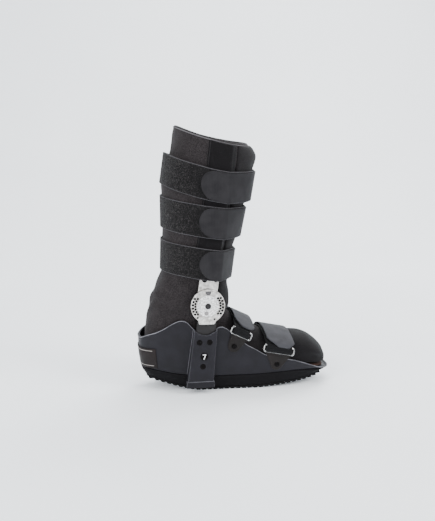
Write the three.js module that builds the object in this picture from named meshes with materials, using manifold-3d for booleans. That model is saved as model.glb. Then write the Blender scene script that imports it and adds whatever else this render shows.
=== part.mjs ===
// Medical walking boot with range-of-motion ankle hinges.
// Millimetres. +X runs from heel to toe, -Y is the outer side, +Z is up, and the floor is at z = 0.
import * as THREE from "three";
import { mergeVertices } from "three/addons/utils/BufferGeometryUtils.js";
import Module from "manifold-3d";

const wasm = await Module();
wasm.setup();

// Driving sizes of the foot shell and the sole
const shellLength = 318;
const heelHalfWidth = 49;
const waistHalfWidth = 53;
const ballHalfWidth = 58;
const rimHeight = 118.5; // floor to the top of the ankle hump
const shellWall = 3;
const shellDraft = 5; // how far the ends lean in from rim to floor
const sideDraft = 0.8; // side lean as a share of the end lean
const soleHeight = 25; // floor to the underside of the shell, under the ankle
const soleDraft = 7;
const rockerLift = 17; // how far the sole's heel end rises off the floor
const treadDepth = 4.5;
const toothDepth = 1.8;
const toothPitch = 9.4;
const insoleThickness = 3;
const fitGap = 0.35; // gap between touching pieces

// Driving sizes of the padded liner
const bootHeight = 426; // floor to the back of the top rim
const hingeHeight = 145;
const hingeSetback = 105.4; // heel of the shell to the hinge axis
const calfDepth = 160;
const calfHalfWidth = 62;
const linerWall = 8;
const linerEase = 2; // side room between the liner and the shell's wall
const flapThickness = 5;
const flapHem = 1.6;

// Driving sizes of the hinges and side bars
const barWidth = 28;
const barThickness = 3;
const barLean = 5.4; // degrees that the side bars lean towards the toe
const armWidth = 31;
const armThickness = 2.5;
const armReach = 58; // hinge axis to the top of the metal arm
const stirrupWidth = 32;
const stirrupThickness = 3;
const stirrupLean = 3.2; // degrees that the bar in the housing leans towards the toe
const discRadius = 27.5;
const discThickness = 2.8;
const pivotRadius = 4.8;
const pivotShank = 3.2;
const windowRadius = 3.4;
const rivetRadius = 4.2;
const shankRadius = 2;
const rivetRise = 1.4;
const pocketWidth = 46;
const pocketLean = 7.2; // degrees that the pockets lean towards the toe
const pocketSetback = 6.4; // how far behind the hinge axis the pocket's line starts
const pocketCloth = 1.5;

// Driving sizes of the straps, rings and chapes
const bandWidth = 50;
const bandThickness = 2.4;
const tabWidth = 47;
const tabThickness = 1.8;
const footStrapThickness = 2.2;
const wireRadius = 1.5;
const chapeThickness = 2.2;
const labelThickness = 0.8;
const labelFrom = 0.315; // heights on the heel as shares of the rim's height
const labelTo = 0.6;
const labelReach = 0.078; // how far round it comes, as a share of the shell's length

const hingeX = -shellLength / 2 + hingeSetback;
const legRise = bootHeight - hingeHeight;

// Colours and finishes
const finish = (color, roughness, metalness = 0) =>
  new THREE.MeshStandardMaterial({ color, roughness, metalness });
const shellPlastic = finish(0x43434a, 0.5);
const soleRubber = finish(0x2c2a2d, 0.8);
const treadRubber = finish(0x161517, 0.9);
const insoleFoam = finish(0x3a2f2b, 0.95);
const linerCloth = finish(0x2b2b2d, 0.95);
const pocketFabric = finish(0x1d1d1f, 0.95);
const loopPile = finish(0x26262a, 1);
const strapCloth = finish(0x4c4c52, 0.75);
const footWebbing = finish(0x1b1b1d, 0.9);
const chapeRubber = finish(0x2e2a29, 0.7);
const steel = finish(0xc9c9c6, 0.3, 1);
const aluminium = finish(0xcfccc8, 0.4, 1);
const blackSteel = finish(0x211f20, 0.55, 0.4);
const rivetBlack = finish(0x141214, 0.4, 0.3);

const group = new THREE.Group();
const V = (x, y, z) => new THREE.Vector3(x, y, z);
const lerp = THREE.MathUtils.lerp;
const clamp = THREE.MathUtils.clamp;
const smoothstep = THREE.MathUtils.smoothstep;
const radians = THREE.MathUtils.degToRad;
const range = (count) => Array.from({ length: count }, (_, i) => i);

// A smooth curve through a table's rows: the value of one column at one place
function along(rows, place, column, at) {
  let i = rows.findIndex((row) => row[place] >= at) - 1;
  if (i < -1) i = rows.length - 2;
  i = clamp(i, 0, rows.length - 2);
  const slope = (k) => {
    const a = rows[Math.max(k - 1, 0)];
    const b = rows[Math.min(k + 1, rows.length - 1)];
    return (b[column] - a[column]) / (b[place] - a[place]);
  };
  const [p, q] = [rows[i], rows[i + 1]];
  const span = q[place] - p[place];
  const t = clamp((at - p[place]) / span, 0, 1);
  const t2 = t * t;
  const t3 = t2 * t;
  return (
    (2 * t3 - 3 * t2 + 1) * p[column] +
    (t3 - 2 * t2 + t) * span * slope(i) +
    (3 * t2 - 2 * t3) * q[column] +
    (t3 - t2) * span * slope(i + 1)
  );
}

// A closed geometry from points and triangles, turned to face outwards
function closedGeometry(points, triangles) {
  let volume = 0;
  for (const [a, b, c] of triangles) {
    volume += points[a].dot(points[b].clone().cross(points[c]));
  }
  const index = triangles.flatMap(([a, b, c]) => (volume < 0 ? [a, c, b] : [a, b, c]));
  const geometry = new THREE.BufferGeometry().setFromPoints(points);
  geometry.setIndex(index);
  geometry.computeVertexNormals();
  return geometry;
}

// A closed loft through loops of equal length. A fan cap meets at the loop's middle, and a
// ladder cap joins the loop's two long sides rung by rung.
function loft(loops, cap = "fan") {
  const size = loops[0].length;
  const points = loops.flat();
  const triangles = [];
  for (const i of range(loops.length - 1)) {
    for (const j of range(size)) {
      const k = (j + 1) % size;
      const [a, b] = [i * size + j, i * size + k];
      triangles.push([a, b, b + size], [a, b + size, a + size]);
    }
  }
  const close = (start, flip) => {
    const add = (a, b, c) => triangles.push(flip ? [a, b, c] : [a, c, b]);
    if (cap === "fan") {
      const middle = points.length;
      const loop = points.slice(start, start + size);
      points.push(loop.reduce((sum, p) => sum.add(p), V(0, 0, 0)).divideScalar(size));
      for (const j of range(size)) add(middle, start + j, start + ((j + 1) % size));
      return;
    }
    for (const j of range(size / 2)) {
      const [a, b] = [start + j, start + j + 1];
      const [c, d] = [start + size - j - 1, start + ((size - j) % size)];
      if (b !== c) add(a, b, c);
      if (d !== a) add(a, c, d);
    }
  };
  close(0, false);
  close((loops.length - 1) * size, true);
  return closedGeometry(points, triangles);
}

// A closed sheet between two grids of points. A looped sheet joins its last column to its first.
function sheetBetween(inner, outer, looped = false) {
  const columns = inner.length;
  const size = inner[0].length;
  const points = [...inner.flat(), ...outer.flat()];
  const at = (side, i, j) => side * columns * size + (i % columns) * size + j;
  const triangles = [];
  const quad = (a, b, c, d) => triangles.push([a, b, c], [a, c, d]);
  for (const i of range(looped ? columns : columns - 1)) {
    for (const j of range(size - 1)) {
      quad(at(0, i, j), at(0, i + 1, j), at(0, i + 1, j + 1), at(0, i, j + 1));
      quad(at(1, i, j), at(1, i, j + 1), at(1, i + 1, j + 1), at(1, i + 1, j));
    }
    quad(at(0, i, 0), at(1, i, 0), at(1, i + 1, 0), at(0, i + 1, 0));
    const e = size - 1;
    quad(at(0, i, e), at(0, i + 1, e), at(1, i + 1, e), at(1, i, e));
  }
  if (!looped) {
    const e = columns - 1;
    for (const j of range(size - 1)) {
      quad(at(0, 0, j), at(0, 0, j + 1), at(1, 0, j + 1), at(1, 0, j));
      quad(at(0, e, j), at(1, e, j), at(1, e, j + 1), at(0, e, j + 1));
    }
  }
  return closedGeometry(points, triangles);
}

// Conversion to a solid that can be joined and cut, and back
function solidOf(geometry) {
  const bare = geometry.clone();
  bare.deleteAttribute("normal");
  bare.deleteAttribute("uv");
  const merged = mergeVertices(bare, 1e-4);
  return new wasm.Manifold(
    new wasm.Mesh({
      numProp: 3,
      vertProperties: merged.attributes.position.array,
      triVerts: new Uint32Array(merged.index.array),
    }),
  );
}

function geometryOf(solid) {
  const mesh = solid.getMesh();
  const geometry = new THREE.BufferGeometry();
  geometry.setAttribute("position", new THREE.BufferAttribute(mesh.vertProperties, 3));
  geometry.setIndex(new THREE.BufferAttribute(mesh.triVerts, 1));
  geometry.computeVertexNormals();
  return geometry;
}

function addMesh(name, geometry, material) {
  const mesh = new THREE.Mesh(geometry, material);
  mesh.name = name;
  group.add(mesh);
  mesh.updateMatrixWorld(true);
  return mesh;
}

// The same geometry on the inner side of the boot
function mirrored(geometry) {
  const copy = geometry.index ? geometry.toNonIndexed() : geometry.clone();
  copy.deleteAttribute("uv");
  const flipped = mergeVertices(copy.applyMatrix4(new THREE.Matrix4().makeScale(1, -1, 1)));
  const index = flipped.index.array;
  for (let i = 0; i < index.length; i += 3) {
    [index[i + 1], index[i + 2]] = [index[i + 2], index[i + 1]];
  }
  flipped.computeVertexNormals();
  return flipped;
}

// One piece on the outer side and its mirror on the inner side
function addPair(name, geometry, material) {
  return [
    addMesh(`${name}_outer`, geometry, material),
    addMesh(`${name}_inner`, mirrored(geometry), material),
  ];
}

// A flat plate: an outline in x and z, thickened outwards from one distance to another
function sidePlate(shape, from, to) {
  const geometry = new THREE.ExtrudeGeometry(shape, {
    depth: to - from,
    bevelEnabled: false,
    curveSegments: 7,
  });
  geometry.rotateX(Math.PI / 2);
  return geometry.translate(0, -from, 0);
}

// A round rod along y on the outer side, between two distances from the middle plane
function sideRod(radius, x, z, from, to, sides = 12) {
  const geometry = new THREE.CylinderGeometry(radius, radius, to - from, sides);
  return geometry.translate(x, -(from + to) / 2, z);
}

// Foot shell and sole: height tables by share of the shell's length, from heel to toe
const rimRows = [
  { at: 0, rise: 0.722 },
  { at: 0.013, rise: 0.743 },
  { at: 0.028, rise: 0.77 },
  { at: 0.047, rise: 0.795 },
  { at: 0.082, rise: 0.832 },
  { at: 0.12, rise: 0.886 },
  { at: 0.164, rise: 0.962 },
  { at: 0.2, rise: 1 },
  { at: 0.232, rise: 0.982 },
  { at: 0.26, rise: 0.902 },
  { at: 0.29, rise: 0.842 },
  { at: 0.327, rise: 0.818 },
  { at: 0.366, rise: 0.858 },
  { at: 0.395, rise: 0.908 },
  { at: 0.422, rise: 0.898 },
  { at: 0.464, rise: 0.81 },
  { at: 0.524, rise: 0.667 },
  { at: 0.584, rise: 0.575 },
  { at: 0.635, rise: 0.495 },
  { at: 0.7, rise: 0.44 },
  { at: 0.777, rise: 0.4 },
  { at: 0.84, rise: 0.342 },
  { at: 0.89, rise: 0.287 },
  { at: 0.93, rise: 0.245 },
  { at: 0.965, rise: 0.222 },
  { at: 1, rise: 0.214 },
];
const soleRows = [
  { at: 0, top: 1.54, lift: 1.04 },
  { at: 0.05, top: 1.44, lift: 1 },
  { at: 0.1, top: 1.35, lift: 0.8 },
  { at: 0.165, top: 1.2, lift: 0.48 },
  { at: 0.22, top: 1.12, lift: 0.22 },
  { at: 0.265, top: 1.07, lift: 0.07 },
  { at: 0.305, top: 1.03, lift: 0 },
  { at: 0.38, top: 1, lift: 0 },
  { at: 0.45, top: 1, lift: 0 },
  { at: 0.52, top: 1, lift: 0 },
  { at: 0.6, top: 1.02, lift: 0 },
  { at: 0.64, top: 1.04, lift: 0.06 },
  { at: 0.76, top: 1.1, lift: 0.26 },
  { at: 0.84, top: 1.08, lift: 0.44 },
  { at: 0.9, top: 1.02, lift: 0.6 },
  { at: 0.95, top: 0.91, lift: 0.74 },
  { at: 1, top: 0.8, lift: 0.86 },
];
const shareOf = (x) => clamp(x / shellLength + 0.5, 0, 1);
const rimAt = (x) => rimHeight * along(rimRows, "at", "rise", shareOf(x));
const soleTopAt = (x) => soleHeight * along(soleRows, "at", "top", shareOf(x));
const soleLiftAt = (x) => rockerLift * Math.max(0, along(soleRows, "at", "lift", shareOf(x)));
const floorTopAt = (x) => soleTopAt(x) + fitGap + shellWall;
const bedAt = (x) => floorTopAt(x) + insoleThickness + 2 * fitGap;

// Half the shell's width at x, for an outline drawn in by an inset
const endRoundness = 3;
function halfWidthAt(x, inset) {
  const u = clamp((2 * x) / (shellLength - 2 * inset), -1, 1);
  const rear = lerp(heelHalfWidth, waistHalfWidth, smoothstep(u, -0.8, -0.35));
  const full = lerp(rear, ballHalfWidth, smoothstep(u, -0.25, 0.5));
  const side = full - inset * sideDraft;
  return side * Math.pow(1 - Math.pow(Math.abs(u), endRoundness), 1 / endRoundness);
}

// Places along half an outline, closer together round the ends and where the rim waves
const outlineShares = [
  ...range(6).map((i) => 0.11 * (1 - Math.cos((Math.PI / 2) * (i / 5)))),
  ...range(12).map((i) => lerp(0.11, 0.54, (i + 1) / 13)),
  ...range(6).map((i) => lerp(0.54, 0.86, i / 5)),
  ...range(5).map((i) => 1 - 0.14 * (1 - Math.sin((Math.PI / 2) * ((i + 1) / 5)))),
];

// A closed outline at one inset: outer side from heel to toe, then the inner side back
function outline(inset, heightAt) {
  const length = shellLength - 2 * inset;
  const side = outlineShares.map((share) => {
    const x = (share - 0.5) * length;
    return V(x, -halfWidthAt(x, inset), heightAt(x));
  });
  const back = side.slice(1, -1).reverse();
  return [...side, ...back.map((p) => V(p.x, -p.y, p.z))];
}

// How far the wall leans in at a share of the way from the rim down to the floor
const leanAt = (down) => shellDraft * down * down;
const wallLevels = [0, 0.55, 1];

function footShell() {
  const under = (x) => soleTopAt(x) + fitGap;
  const outer = wallLevels.map((down) =>
    outline(leanAt(down), (x) => lerp(rimAt(x), under(x), down)),
  );
  const inner = wallLevels.map((down) =>
    outline(leanAt(down) + shellWall, (x) => lerp(rimAt(x), floorTopAt(x), down)),
  );
  return loft([...outer.reverse(), ...inner], "ladder");
}

// The wall's outer half-width at a place in the side view, grown or drawn in
function wallAt(x, z, inset) {
  const low = soleTopAt(x);
  const down = clamp((rimAt(x) - z) / (rimAt(x) - low), 0, 1);
  const below = clamp((low - z) / soleHeight, 0, 1);
  return halfWidthAt(x, leanAt(down) + soleDraft * below + inset);
}

// The midsole's levels from the tread up: how far each leans in, and its share of the height
const midsoleLevels = [
  { lean: shellDraft + soleDraft, up: 0 },
  { lean: shellDraft + soleDraft * 0.4, up: 0.5 },
  { lean: shellDraft - 0.4, up: 0.86 },
  { lean: shellDraft + 0.2, up: 1 },
].map(({ lean, up }) => ({
  lean,
  height: (x) => lerp(soleLiftAt(x) + treadDepth + fitGap, soleTopAt(x), up),
}));

// A block that fills the shell and the sole, for cutting what is put against their outside
function fillingBlock(inset) {
  const top = rimHeight + 20;
  const levels = [
    ...midsoleLevels,
    ...[0.55, 0].map((down) => ({
      lean: leanAt(down),
      height: (x) => lerp(rimAt(x), soleTopAt(x), down),
    })),
    { lean: 0, height: () => top },
  ];
  return solidOf(
    loft(
      levels.map(({ lean, height }) => outline(lean + inset, height)),
      "ladder",
    ),
  );
}

// The sole alone, grown, for cutting the housings clear of it
function soleBlock(inset) {
  const [lowest, highest] = [midsoleLevels[0], midsoleLevels.at(-1)];
  const levels = [
    { lean: lowest.lean, height: (x) => lowest.height(x) - 2 * treadDepth },
    ...midsoleLevels,
    { lean: highest.lean, height: (x) => highest.height(x) + fitGap },
  ];
  return solidOf(
    loft(
      levels.map(({ lean, height }) => outline(lean + inset, height)),
      "ladder",
    ),
  );
}

// The liner's leg, as shares of its rise above the hinge axis and of the calf's depth and width:
// the back and front ends of each section, how far the front drops, and how far the sides sag
const legRows = [
  { up: -0.007, back: -0.537, front: 0.242, drop: 0.0125, wide: 0.745, sag: 0 },
  { up: 0.1, back: -0.474, front: 0.237, drop: 0.094, wide: 0.77, sag: 0 },
  { up: 0.196, back: -0.395, front: 0.224, drop: 0.125, wide: 0.82, sag: 0 },
  { up: 0.349, back: -0.402, front: 0.275, drop: 0.08, wide: 0.9, sag: 0.01 },
  { up: 0.434, back: -0.397, front: 0.307, drop: 0.12, wide: 0.955, sag: 0.01 },
  { up: 0.601, back: -0.402, front: 0.37, drop: 0.12, wide: 0.995, sag: 0.015 },
  { up: 0.669, back: -0.402, front: 0.413, drop: 0.16, wide: 1, sag: 0.02 },
  { up: 0.772, back: -0.372, front: 0.44, drop: 0.18, wide: 1, sag: 0.025 },
  { up: 0.847, back: -0.318, front: 0.475, drop: 0.17, wide: 0.985, sag: 0.03 },
  { up: 0.915, back: -0.297, front: 0.512, drop: 0.155, wide: 0.98, sag: 0.03 },
  { up: 1, back: -0.274, front: 0.469, drop: 0.19, wide: 0.965, sag: 0.03 },
];

// The liner's foot, from the ankle round the heel to the toe, as shares of the shell's length, the
// hinge's height and the ball's width: the back or bottom end and the front or top end
const footRows = [
  { backAt: 0.044, backUp: 0.805, frontAt: 0.452, frontUp: 0.905, wide: 0.79 },
  { backAt: 0.035, backUp: 0.634, frontAt: 0.459, frontUp: 0.854, wide: 0.775 },
  { backAt: 0.0315, backUp: 0.455, frontAt: 0.485, frontUp: 0.806, wide: 0.765 },
  { backAt: 0.044, backUp: 0.297, frontAt: 0.517, frontUp: 0.758, wide: 0.765 },
  { backAt: 0.104, backUp: 0.228, frontAt: 0.552, frontUp: 0.716, wide: 0.79 },
  { backAt: 0.2, backUp: 0.21, frontAt: 0.593, frontUp: 0.673, wide: 0.81 },
  { backAt: 0.327, backUp: 0.21, frontAt: 0.638, frontUp: 0.62, wide: 0.83 },
  { backAt: 0.469, backUp: 0.21, frontAt: 0.686, frontUp: 0.58, wide: 0.86 },
  { backAt: 0.626, backUp: 0.21, frontAt: 0.741, frontUp: 0.553, wide: 0.905 },
  { backAt: 0.752, backUp: 0.22, frontAt: 0.813, frontUp: 0.57, wide: 0.92 },
  { backAt: 0.846, backUp: 0.225, frontAt: 0.874, frontUp: 0.55, wide: 0.88 },
  { backAt: 0.909, backUp: 0.22, frontAt: 0.928, frontUp: 0.478, wide: 0.76 },
  { backAt: 0.95, backUp: 0.217, frontAt: 0.965, frontUp: 0.393, wide: 0.58 },
  { backAt: 0.972, backUp: 0.225, frontAt: 0.981, frontUp: 0.317, wide: 0.36 },
  { backAt: 0.981, backUp: 0.248, frontAt: 0.986, frontUp: 0.283, wide: 0.13 },
];

// The liner's sections from the top rim down the leg, round the heel and on to the toe, in
// millimetres: the back or bottom end and the front or top end of each, and half its width
const sections = [
  ...[...legRows].reverse().map((row) => ({
    backX: hingeX + row.back * calfDepth,
    backZ: hingeHeight + row.up * legRise,
    frontX: hingeX + row.front * calfDepth,
    frontZ: hingeHeight + row.up * legRise - row.drop * calfDepth,
    half: row.wide * calfHalfWidth,
    sag: row.sag * calfDepth,
    square: 2.15,
    foot: 0,
  })),
  ...footRows.map((row, i) => ({
    backX: (row.backAt - 0.5) * shellLength,
    backZ: row.backUp * hingeHeight,
    frontX: (row.frontAt - 0.5) * shellLength,
    frontZ: row.frontUp * hingeHeight,
    half: row.wide * ballHalfWidth,
    sag: 0,
    square: lerp(2.15, 3, smoothstep(i, 2, 6)),
    foot: smoothstep(i, 2, 6),
  })),
].map((row, i) => ({ ...row, at: i }));

// The liner's section at a place along the table, drawn in by an inset
function linerLoop(at, inset, count) {
  const get = (column) => along(sections, "at", column, at);
  const back = V(get("backX"), 0, get("backZ"));
  const front = V(get("frontX"), 0, get("frontZ"));
  const axis = front.clone().sub(back).normalize();
  back.addScaledVector(axis, inset);
  front.addScaledVector(axis, -inset);
  const half = get("half") - inset;
  const middle = back.clone().lerp(front, lerp(0.5, 0.42, get("foot")));
  return range(count).map((j) => {
    const angle = (2 * Math.PI * j) / count;
    const [c, s] = [Math.cos(angle), Math.sin(angle)];
    const power = 2 / (c < 0 ? get("square") : 2.15);
    const reach = Math.sign(c) * Math.pow(Math.abs(c), power);
    const side = Math.sign(s) * Math.pow(Math.abs(s), power);
    const p = middle.clone().lerp(c < 0 ? back : front, Math.abs(reach));
    p.z -= get("sag") * side * side;
    p.y = -side * half;
    const bed = bedAt(p.x) + fitGap + inset;
    p.z = Math.max(p.z, bed);
    if (p.z < rimAt(p.x) + 20) {
      const most = Math.max(1, wallAt(p.x, p.z, shellWall + linerEase) - inset);
      p.y = clamp(p.y, -most, most);
    }
    return p;
  });
}

const linerSides = 24;
const lastSection = sections.length - 1;
const outerPlaces = range(25).map((i) => (lastSection * i) / 24);
function liner() {
  const innerPlaces = range(13).map((i) => ((lastSection - 2.4) * i) / 12);
  const outer = outerPlaces.map((at) => linerLoop(at, 0, linerSides));
  const inner = innerPlaces.map((at) => linerLoop(at, linerWall, linerSides));
  return loft([...outer.reverse(), ...inner]);
}

// The liner's front flap: a padded wing that laps over the shin from the outer side. It is laid
// on the liner's own sections, so that it follows them.
const flapSides = [5, 4, 3, 2, 1, 0, -1, -2, -3];
const flapPlaces = outerPlaces.slice(0, 12);
function frontFlap() {
  const grid = (outer) =>
    flapSides.map((side, i) => {
      const share = i / (flapSides.length - 1);
      const thick = lerp(flapHem, flapThickness, smoothstep(share, 0, 0.4));
      const inset = -2 * fitGap - (outer ? thick : 0);
      const j = (side + linerSides) % linerSides;
      return flapPlaces.map((at) => linerLoop(at, inset, linerSides)[j]);
    });
  return sheetBetween(grid(false), grid(true));
}

// The corners that the targets have within a slab of space, and where their edges enter it
function cornersWithin(targets, heightOf, low, high) {
  const found = [];
  const take = (a, b) => {
    const [ha, hb] = [heightOf(a), heightOf(b)];
    if (Math.max(ha, hb) < low || Math.min(ha, hb) > high) return;
    for (const bound of [low, high]) {
      if ((ha - bound) * (hb - bound) >= 0) continue;
      found.push(a.clone().lerp(b, (bound - ha) / (hb - ha)));
    }
    for (const p of [a, b]) {
      if (heightOf(p) >= low && heightOf(p) <= high) found.push(p.clone());
    }
  };
  for (const { geometry } of targets) {
    const { position } = geometry.attributes;
    const corner = (i) => new THREE.Vector3().fromBufferAttribute(position, i);
    const index = geometry.index ? geometry.index.array : range(position.count);
    for (let i = 0; i < index.length; i += 3) {
      const [a, b, c] = [corner(index[i]), corner(index[i + 1]), corner(index[i + 2])];
      take(a, b);
      take(b, c);
      take(c, a);
    }
  }
  return found;
}

// How far out the targets reach on the outer side within a strip of the side view
function sideReach(targets, xAt, halfWidth, low, high) {
  const slab = cornersWithin(targets, (p) => p.z, low, high);
  const near = slab.filter((p) => Math.abs(p.x - xAt(p.z)) < halfWidth + stripMargin);
  return Math.max(0, ...near.map((p) => -p.y));
}
const stripMargin = 14;

// The leg's middle line and the side bars' line, as x at a height
const midLegAt = (z) => {
  const up = clamp((z - hingeHeight) / legRise, -0.007, 1);
  const back = along(legRows, "up", "back", up);
  const front = along(legRows, "up", "front", up);
  return hingeX + (calfDepth * (back + front)) / 2;
};
const barLineAt = (z) => hingeX + (z - hingeHeight) * Math.tan(radians(barLean));

// Three leg straps: height of the middle at the leg's middle line, slope in degrees, how far the
// sides sag as a share of the calf's depth, and where the tab's round end lies, as a share of the
// calf's depth from the hinge axis
const legStraps = [
  { name: "top", up: 0.7153, tilt: 11.4, sag: 0.04, tabEnd: -0.0625 },
  { name: "middle", up: 0.488, tilt: 7.5, sag: 0.01, tabEnd: -0.0825 },
  { name: "lower", up: 0.243, tilt: 7.8, sag: 0, tabEnd: -0.084 },
];
const bandSides = 26;

// The corner between two neighbouring sides of a ring of taut sides, each at its own reach
function cornerOf(reach, i, step) {
  const [a, b] = [i * step, (i + 1) * step];
  const [p, q] = [reach(a), reach(b)];
  const turn = Math.sin(step);
  return [
    (p * Math.sin(b) - q * Math.sin(a)) / turn,
    (q * Math.cos(a) - p * Math.cos(b)) / turn,
  ];
}

// A taut belt round the leg. It clears every corner of what it lies on, and its sides are flat.
// Its points are found by side, share of its width and distance off.
function tautBelt(strap, targets) {
  const height = hingeHeight + strap.up * legRise;
  const slope = Math.tan(radians(strap.tilt));
  const middle = midLegAt(height);
  const sagAt = (y) => strap.sag * calfDepth * (y / calfHalfWidth) ** 2;
  const heightOf = (p) => p.z + slope * (p.x - middle) + sagAt(p.y);
  const [low, high] = [height - bandWidth / 2, height + bandWidth / 2];
  const corners = cornersWithin(targets, heightOf, low, high);
  const reachIn = (list, angle) =>
    Math.max(...list.map((p) => (p.x - middle) * Math.cos(angle) + p.y * Math.sin(angle)));
  const edges = [low, high].map((edge) =>
    corners.filter((p) => Math.abs(heightOf(p) - edge) < 0.001),
  );
  const step = (2 * Math.PI) / bandSides;
  const sides = range(bandSides + 1).map((i) => edges.map((edge) => reachIn(edge, i * step)));
  const slack = Math.max(
    ...range(bandSides).map((i) =>
      Math.max(
        ...corners.map((p) => {
          const share = (heightOf(p) - low) / bandWidth;
          return reachIn([p], i * step) - lerp(sides[i][0], sides[i][1], share);
        }),
      ),
    ),
  );
  const cornerAt = (i, end, off) => {
    const reach = (angle) => sides[Math.round(angle / step) % bandSides][end] + slack + off;
    return cornerOf(reach, i, step);
  };
  return (column, share, off) => {
    const whole = Math.floor(column);
    const part = column - whole;
    const ends = [0, 1].map((end) => {
      const [a, b] = [whole, whole + 1].map((i) => cornerAt(i % bandSides, end, off));
      const [x, y] = [lerp(a[0], b[0], part), lerp(a[1], b[1], part)];
      return V(middle + x, y, (end ? high : low) - slope * x - sagAt(y));
    });
    return ends[0].lerp(ends[1], share);
  };
}

// A leg strap's pile band, all the way round
function legBand(belt) {
  const grid = (off) => range(bandSides).map((i) => [0, 1].map((share) => belt(i, share, off)));
  return sheetBetween(grid(fitGap), grid(fitGap + bandThickness), true);
}

// Half the width of a strap end at a distance from its round tip
const roundEnd = (distance, half) =>
  half * Math.sqrt(1 - Math.pow(1 - clamp(distance / half, 0.02, 1), 2.2));

// A leg strap's hook tab: from its round end on the outer side, over the front, to the inner side
function legTab(strap, belt) {
  const off = 2 * fitGap + bandThickness;
  const endX = hingeX + strap.tabEnd * calfDepth;
  const whole = range(bandSides).map((i) => i + bandSides / 2);
  const first = whole.find((i) => belt(i + 1, 0.5, off).x > endX && belt(i, 0.5, off).y < 0);
  const [a, b] = [belt(first, 0.5, off), belt(first + 1, 0.5, off)];
  const tip = first + clamp((endX - a.x) / (b.x - a.x), 0, 1);
  const last = 2 * bandSides - 2 - tip;
  const far = (from, to) => {
    const stops = [from, ...whole.filter((i) => i > from && i < to), to];
    return stops
      .slice(1)
      .reduce((sum, stop, i) => sum + belt(stop, 0.5, off).distanceTo(belt(stops[i], 0.5, off)), 0);
  };
  const turns = range(Math.ceil(last - tip)).map((i) => Math.floor(tip) + 1 + i);
  const extra = [0, 0.04, 0.13, 0.3, 0.55].map((share) => tip + share * 1.9);
  const columns = [...extra, ...turns.filter((i) => i > tip + 0.02 && i < last), last]
    .sort((p, q) => p - q)
    .filter((p, i, all) => i === 0 || p - all[i - 1] > 0.01);
  const grid = (more) =>
    columns.map((column) => {
      const half = roundEnd(far(tip, column), tabWidth / 2) / bandWidth;
      return [-half, half].map((share) => belt(column, 0.5 + share, off + more));
    });
  return sheetBetween(grid(0), grid(tabThickness));
}

// The shell with its stirrup housings
const housingFrom = { low: -0.271, high: -0.236 };
const housingTo = { low: -0.139, high: -0.119 };

const linerMesh = addMesh("liner", liner(), linerCloth);
const flapMesh = addMesh("liner_front_flap", frontFlap(), linerCloth);
const barFoot = hingeHeight + armReach - 27;
const barTop = hingeHeight + legRise * 0.865;
const barSteps = 8;
const barStep = (barTop - barFoot) / barSteps;
const linerAtArm = sideReach(
  [linerMesh],
  barLineAt,
  armWidth / 2,
  hingeHeight - discRadius,
  hingeHeight + armReach + barStep,
);
const stirrupInner = Math.max(waistHalfWidth + 1.5, linerAtArm + fitGap);
const stirrupOuter = stirrupInner + stirrupThickness;
const armInner = stirrupOuter + fitGap;
const armOuter = armInner + armThickness;
const discInner = armOuter + fitGap;
const discOuter = discInner + discThickness;
const slotWall = 3.4;
const housingOuter = stirrupOuter + fitGap + slotWall;
const housingFoot = soleHeight * 0.66;

function housingOutline(inset) {
  const at = (share) => share * shellLength;
  const [left, right] = [housingFrom, housingTo];
  const foot = [V(at(left.low) + inset, 0, 0), V(at(right.low) - inset, 0, 0)];
  foot.forEach((p) => p.setZ(housingFoot + inset));
  const top = range(13).map((i) => {
    const x = lerp(at(right.high) - inset, at(left.high) + inset, i / 12);
    return V(x, 0, rimAt(x) - inset);
  });
  return [...foot, ...top];
}

// Rivets that hold the stirrup in its housing: distance up from the floor and along the housing
const housingRivets = [
  { name: "front", x: -0.159, up: 0.72 },
  { name: "rear", x: -0.2105, up: 0.722 },
  { name: "low", x: -0.1935, up: 0.386 },
];
const numberPlug = { x: -0.1865, up: 0.525, radius: 6 };
const sinkDepth = 0.8;

function shellWithHousings() {
  const layers = [
    { inset: 0, y: waistHalfWidth - 12 },
    { inset: 0, y: housingOuter - 4 },
    { inset: 1.2, y: housingOuter - 1.2 },
    { inset: 3.2, y: housingOuter },
  ];
  const block = solidOf(
    loft(layers.map(({ inset, y }) => housingOutline(inset).map((p) => p.setY(-y)))),
  );
  const clearOfWall = fillingBlock(shellWall / 2);
  const clearOfSole = soleBlock(-fitGap);
  const slotShape = stirrupShape(fitGap, false);
  const slot = solidOf(sidePlate(slotShape, stirrupInner - fitGap, stirrupOuter + fitGap));
  let housing = block.subtract(clearOfWall).subtract(clearOfSole).subtract(slot);
  for (const { x, up } of housingRivets) {
    const place = [x * shellLength, up * rimHeight];
    const sink = sideRod(rivetRadius + fitGap, ...place, housingOuter - sinkDepth, housingOuter + 5);
    const hole = sideRod(shankRadius + fitGap, ...place, stirrupOuter, housingOuter + 5, 8);
    housing = housing.subtract(solidOf(sink)).subtract(solidOf(hole));
  }
  const plugPlace = [numberPlug.x * shellLength, numberPlug.up * rimHeight];
  const plugSink = sideRod(
    numberPlug.radius + fitGap,
    ...plugPlace,
    housingOuter - sinkDepth,
    housingOuter + 5,
  );
  housing = housing.subtract(solidOf(plugSink));
  const other = solidOf(mirrored(geometryOf(housing)));
  return geometryOf(solidOf(footShell()).add(housing).add(other));
}

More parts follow.
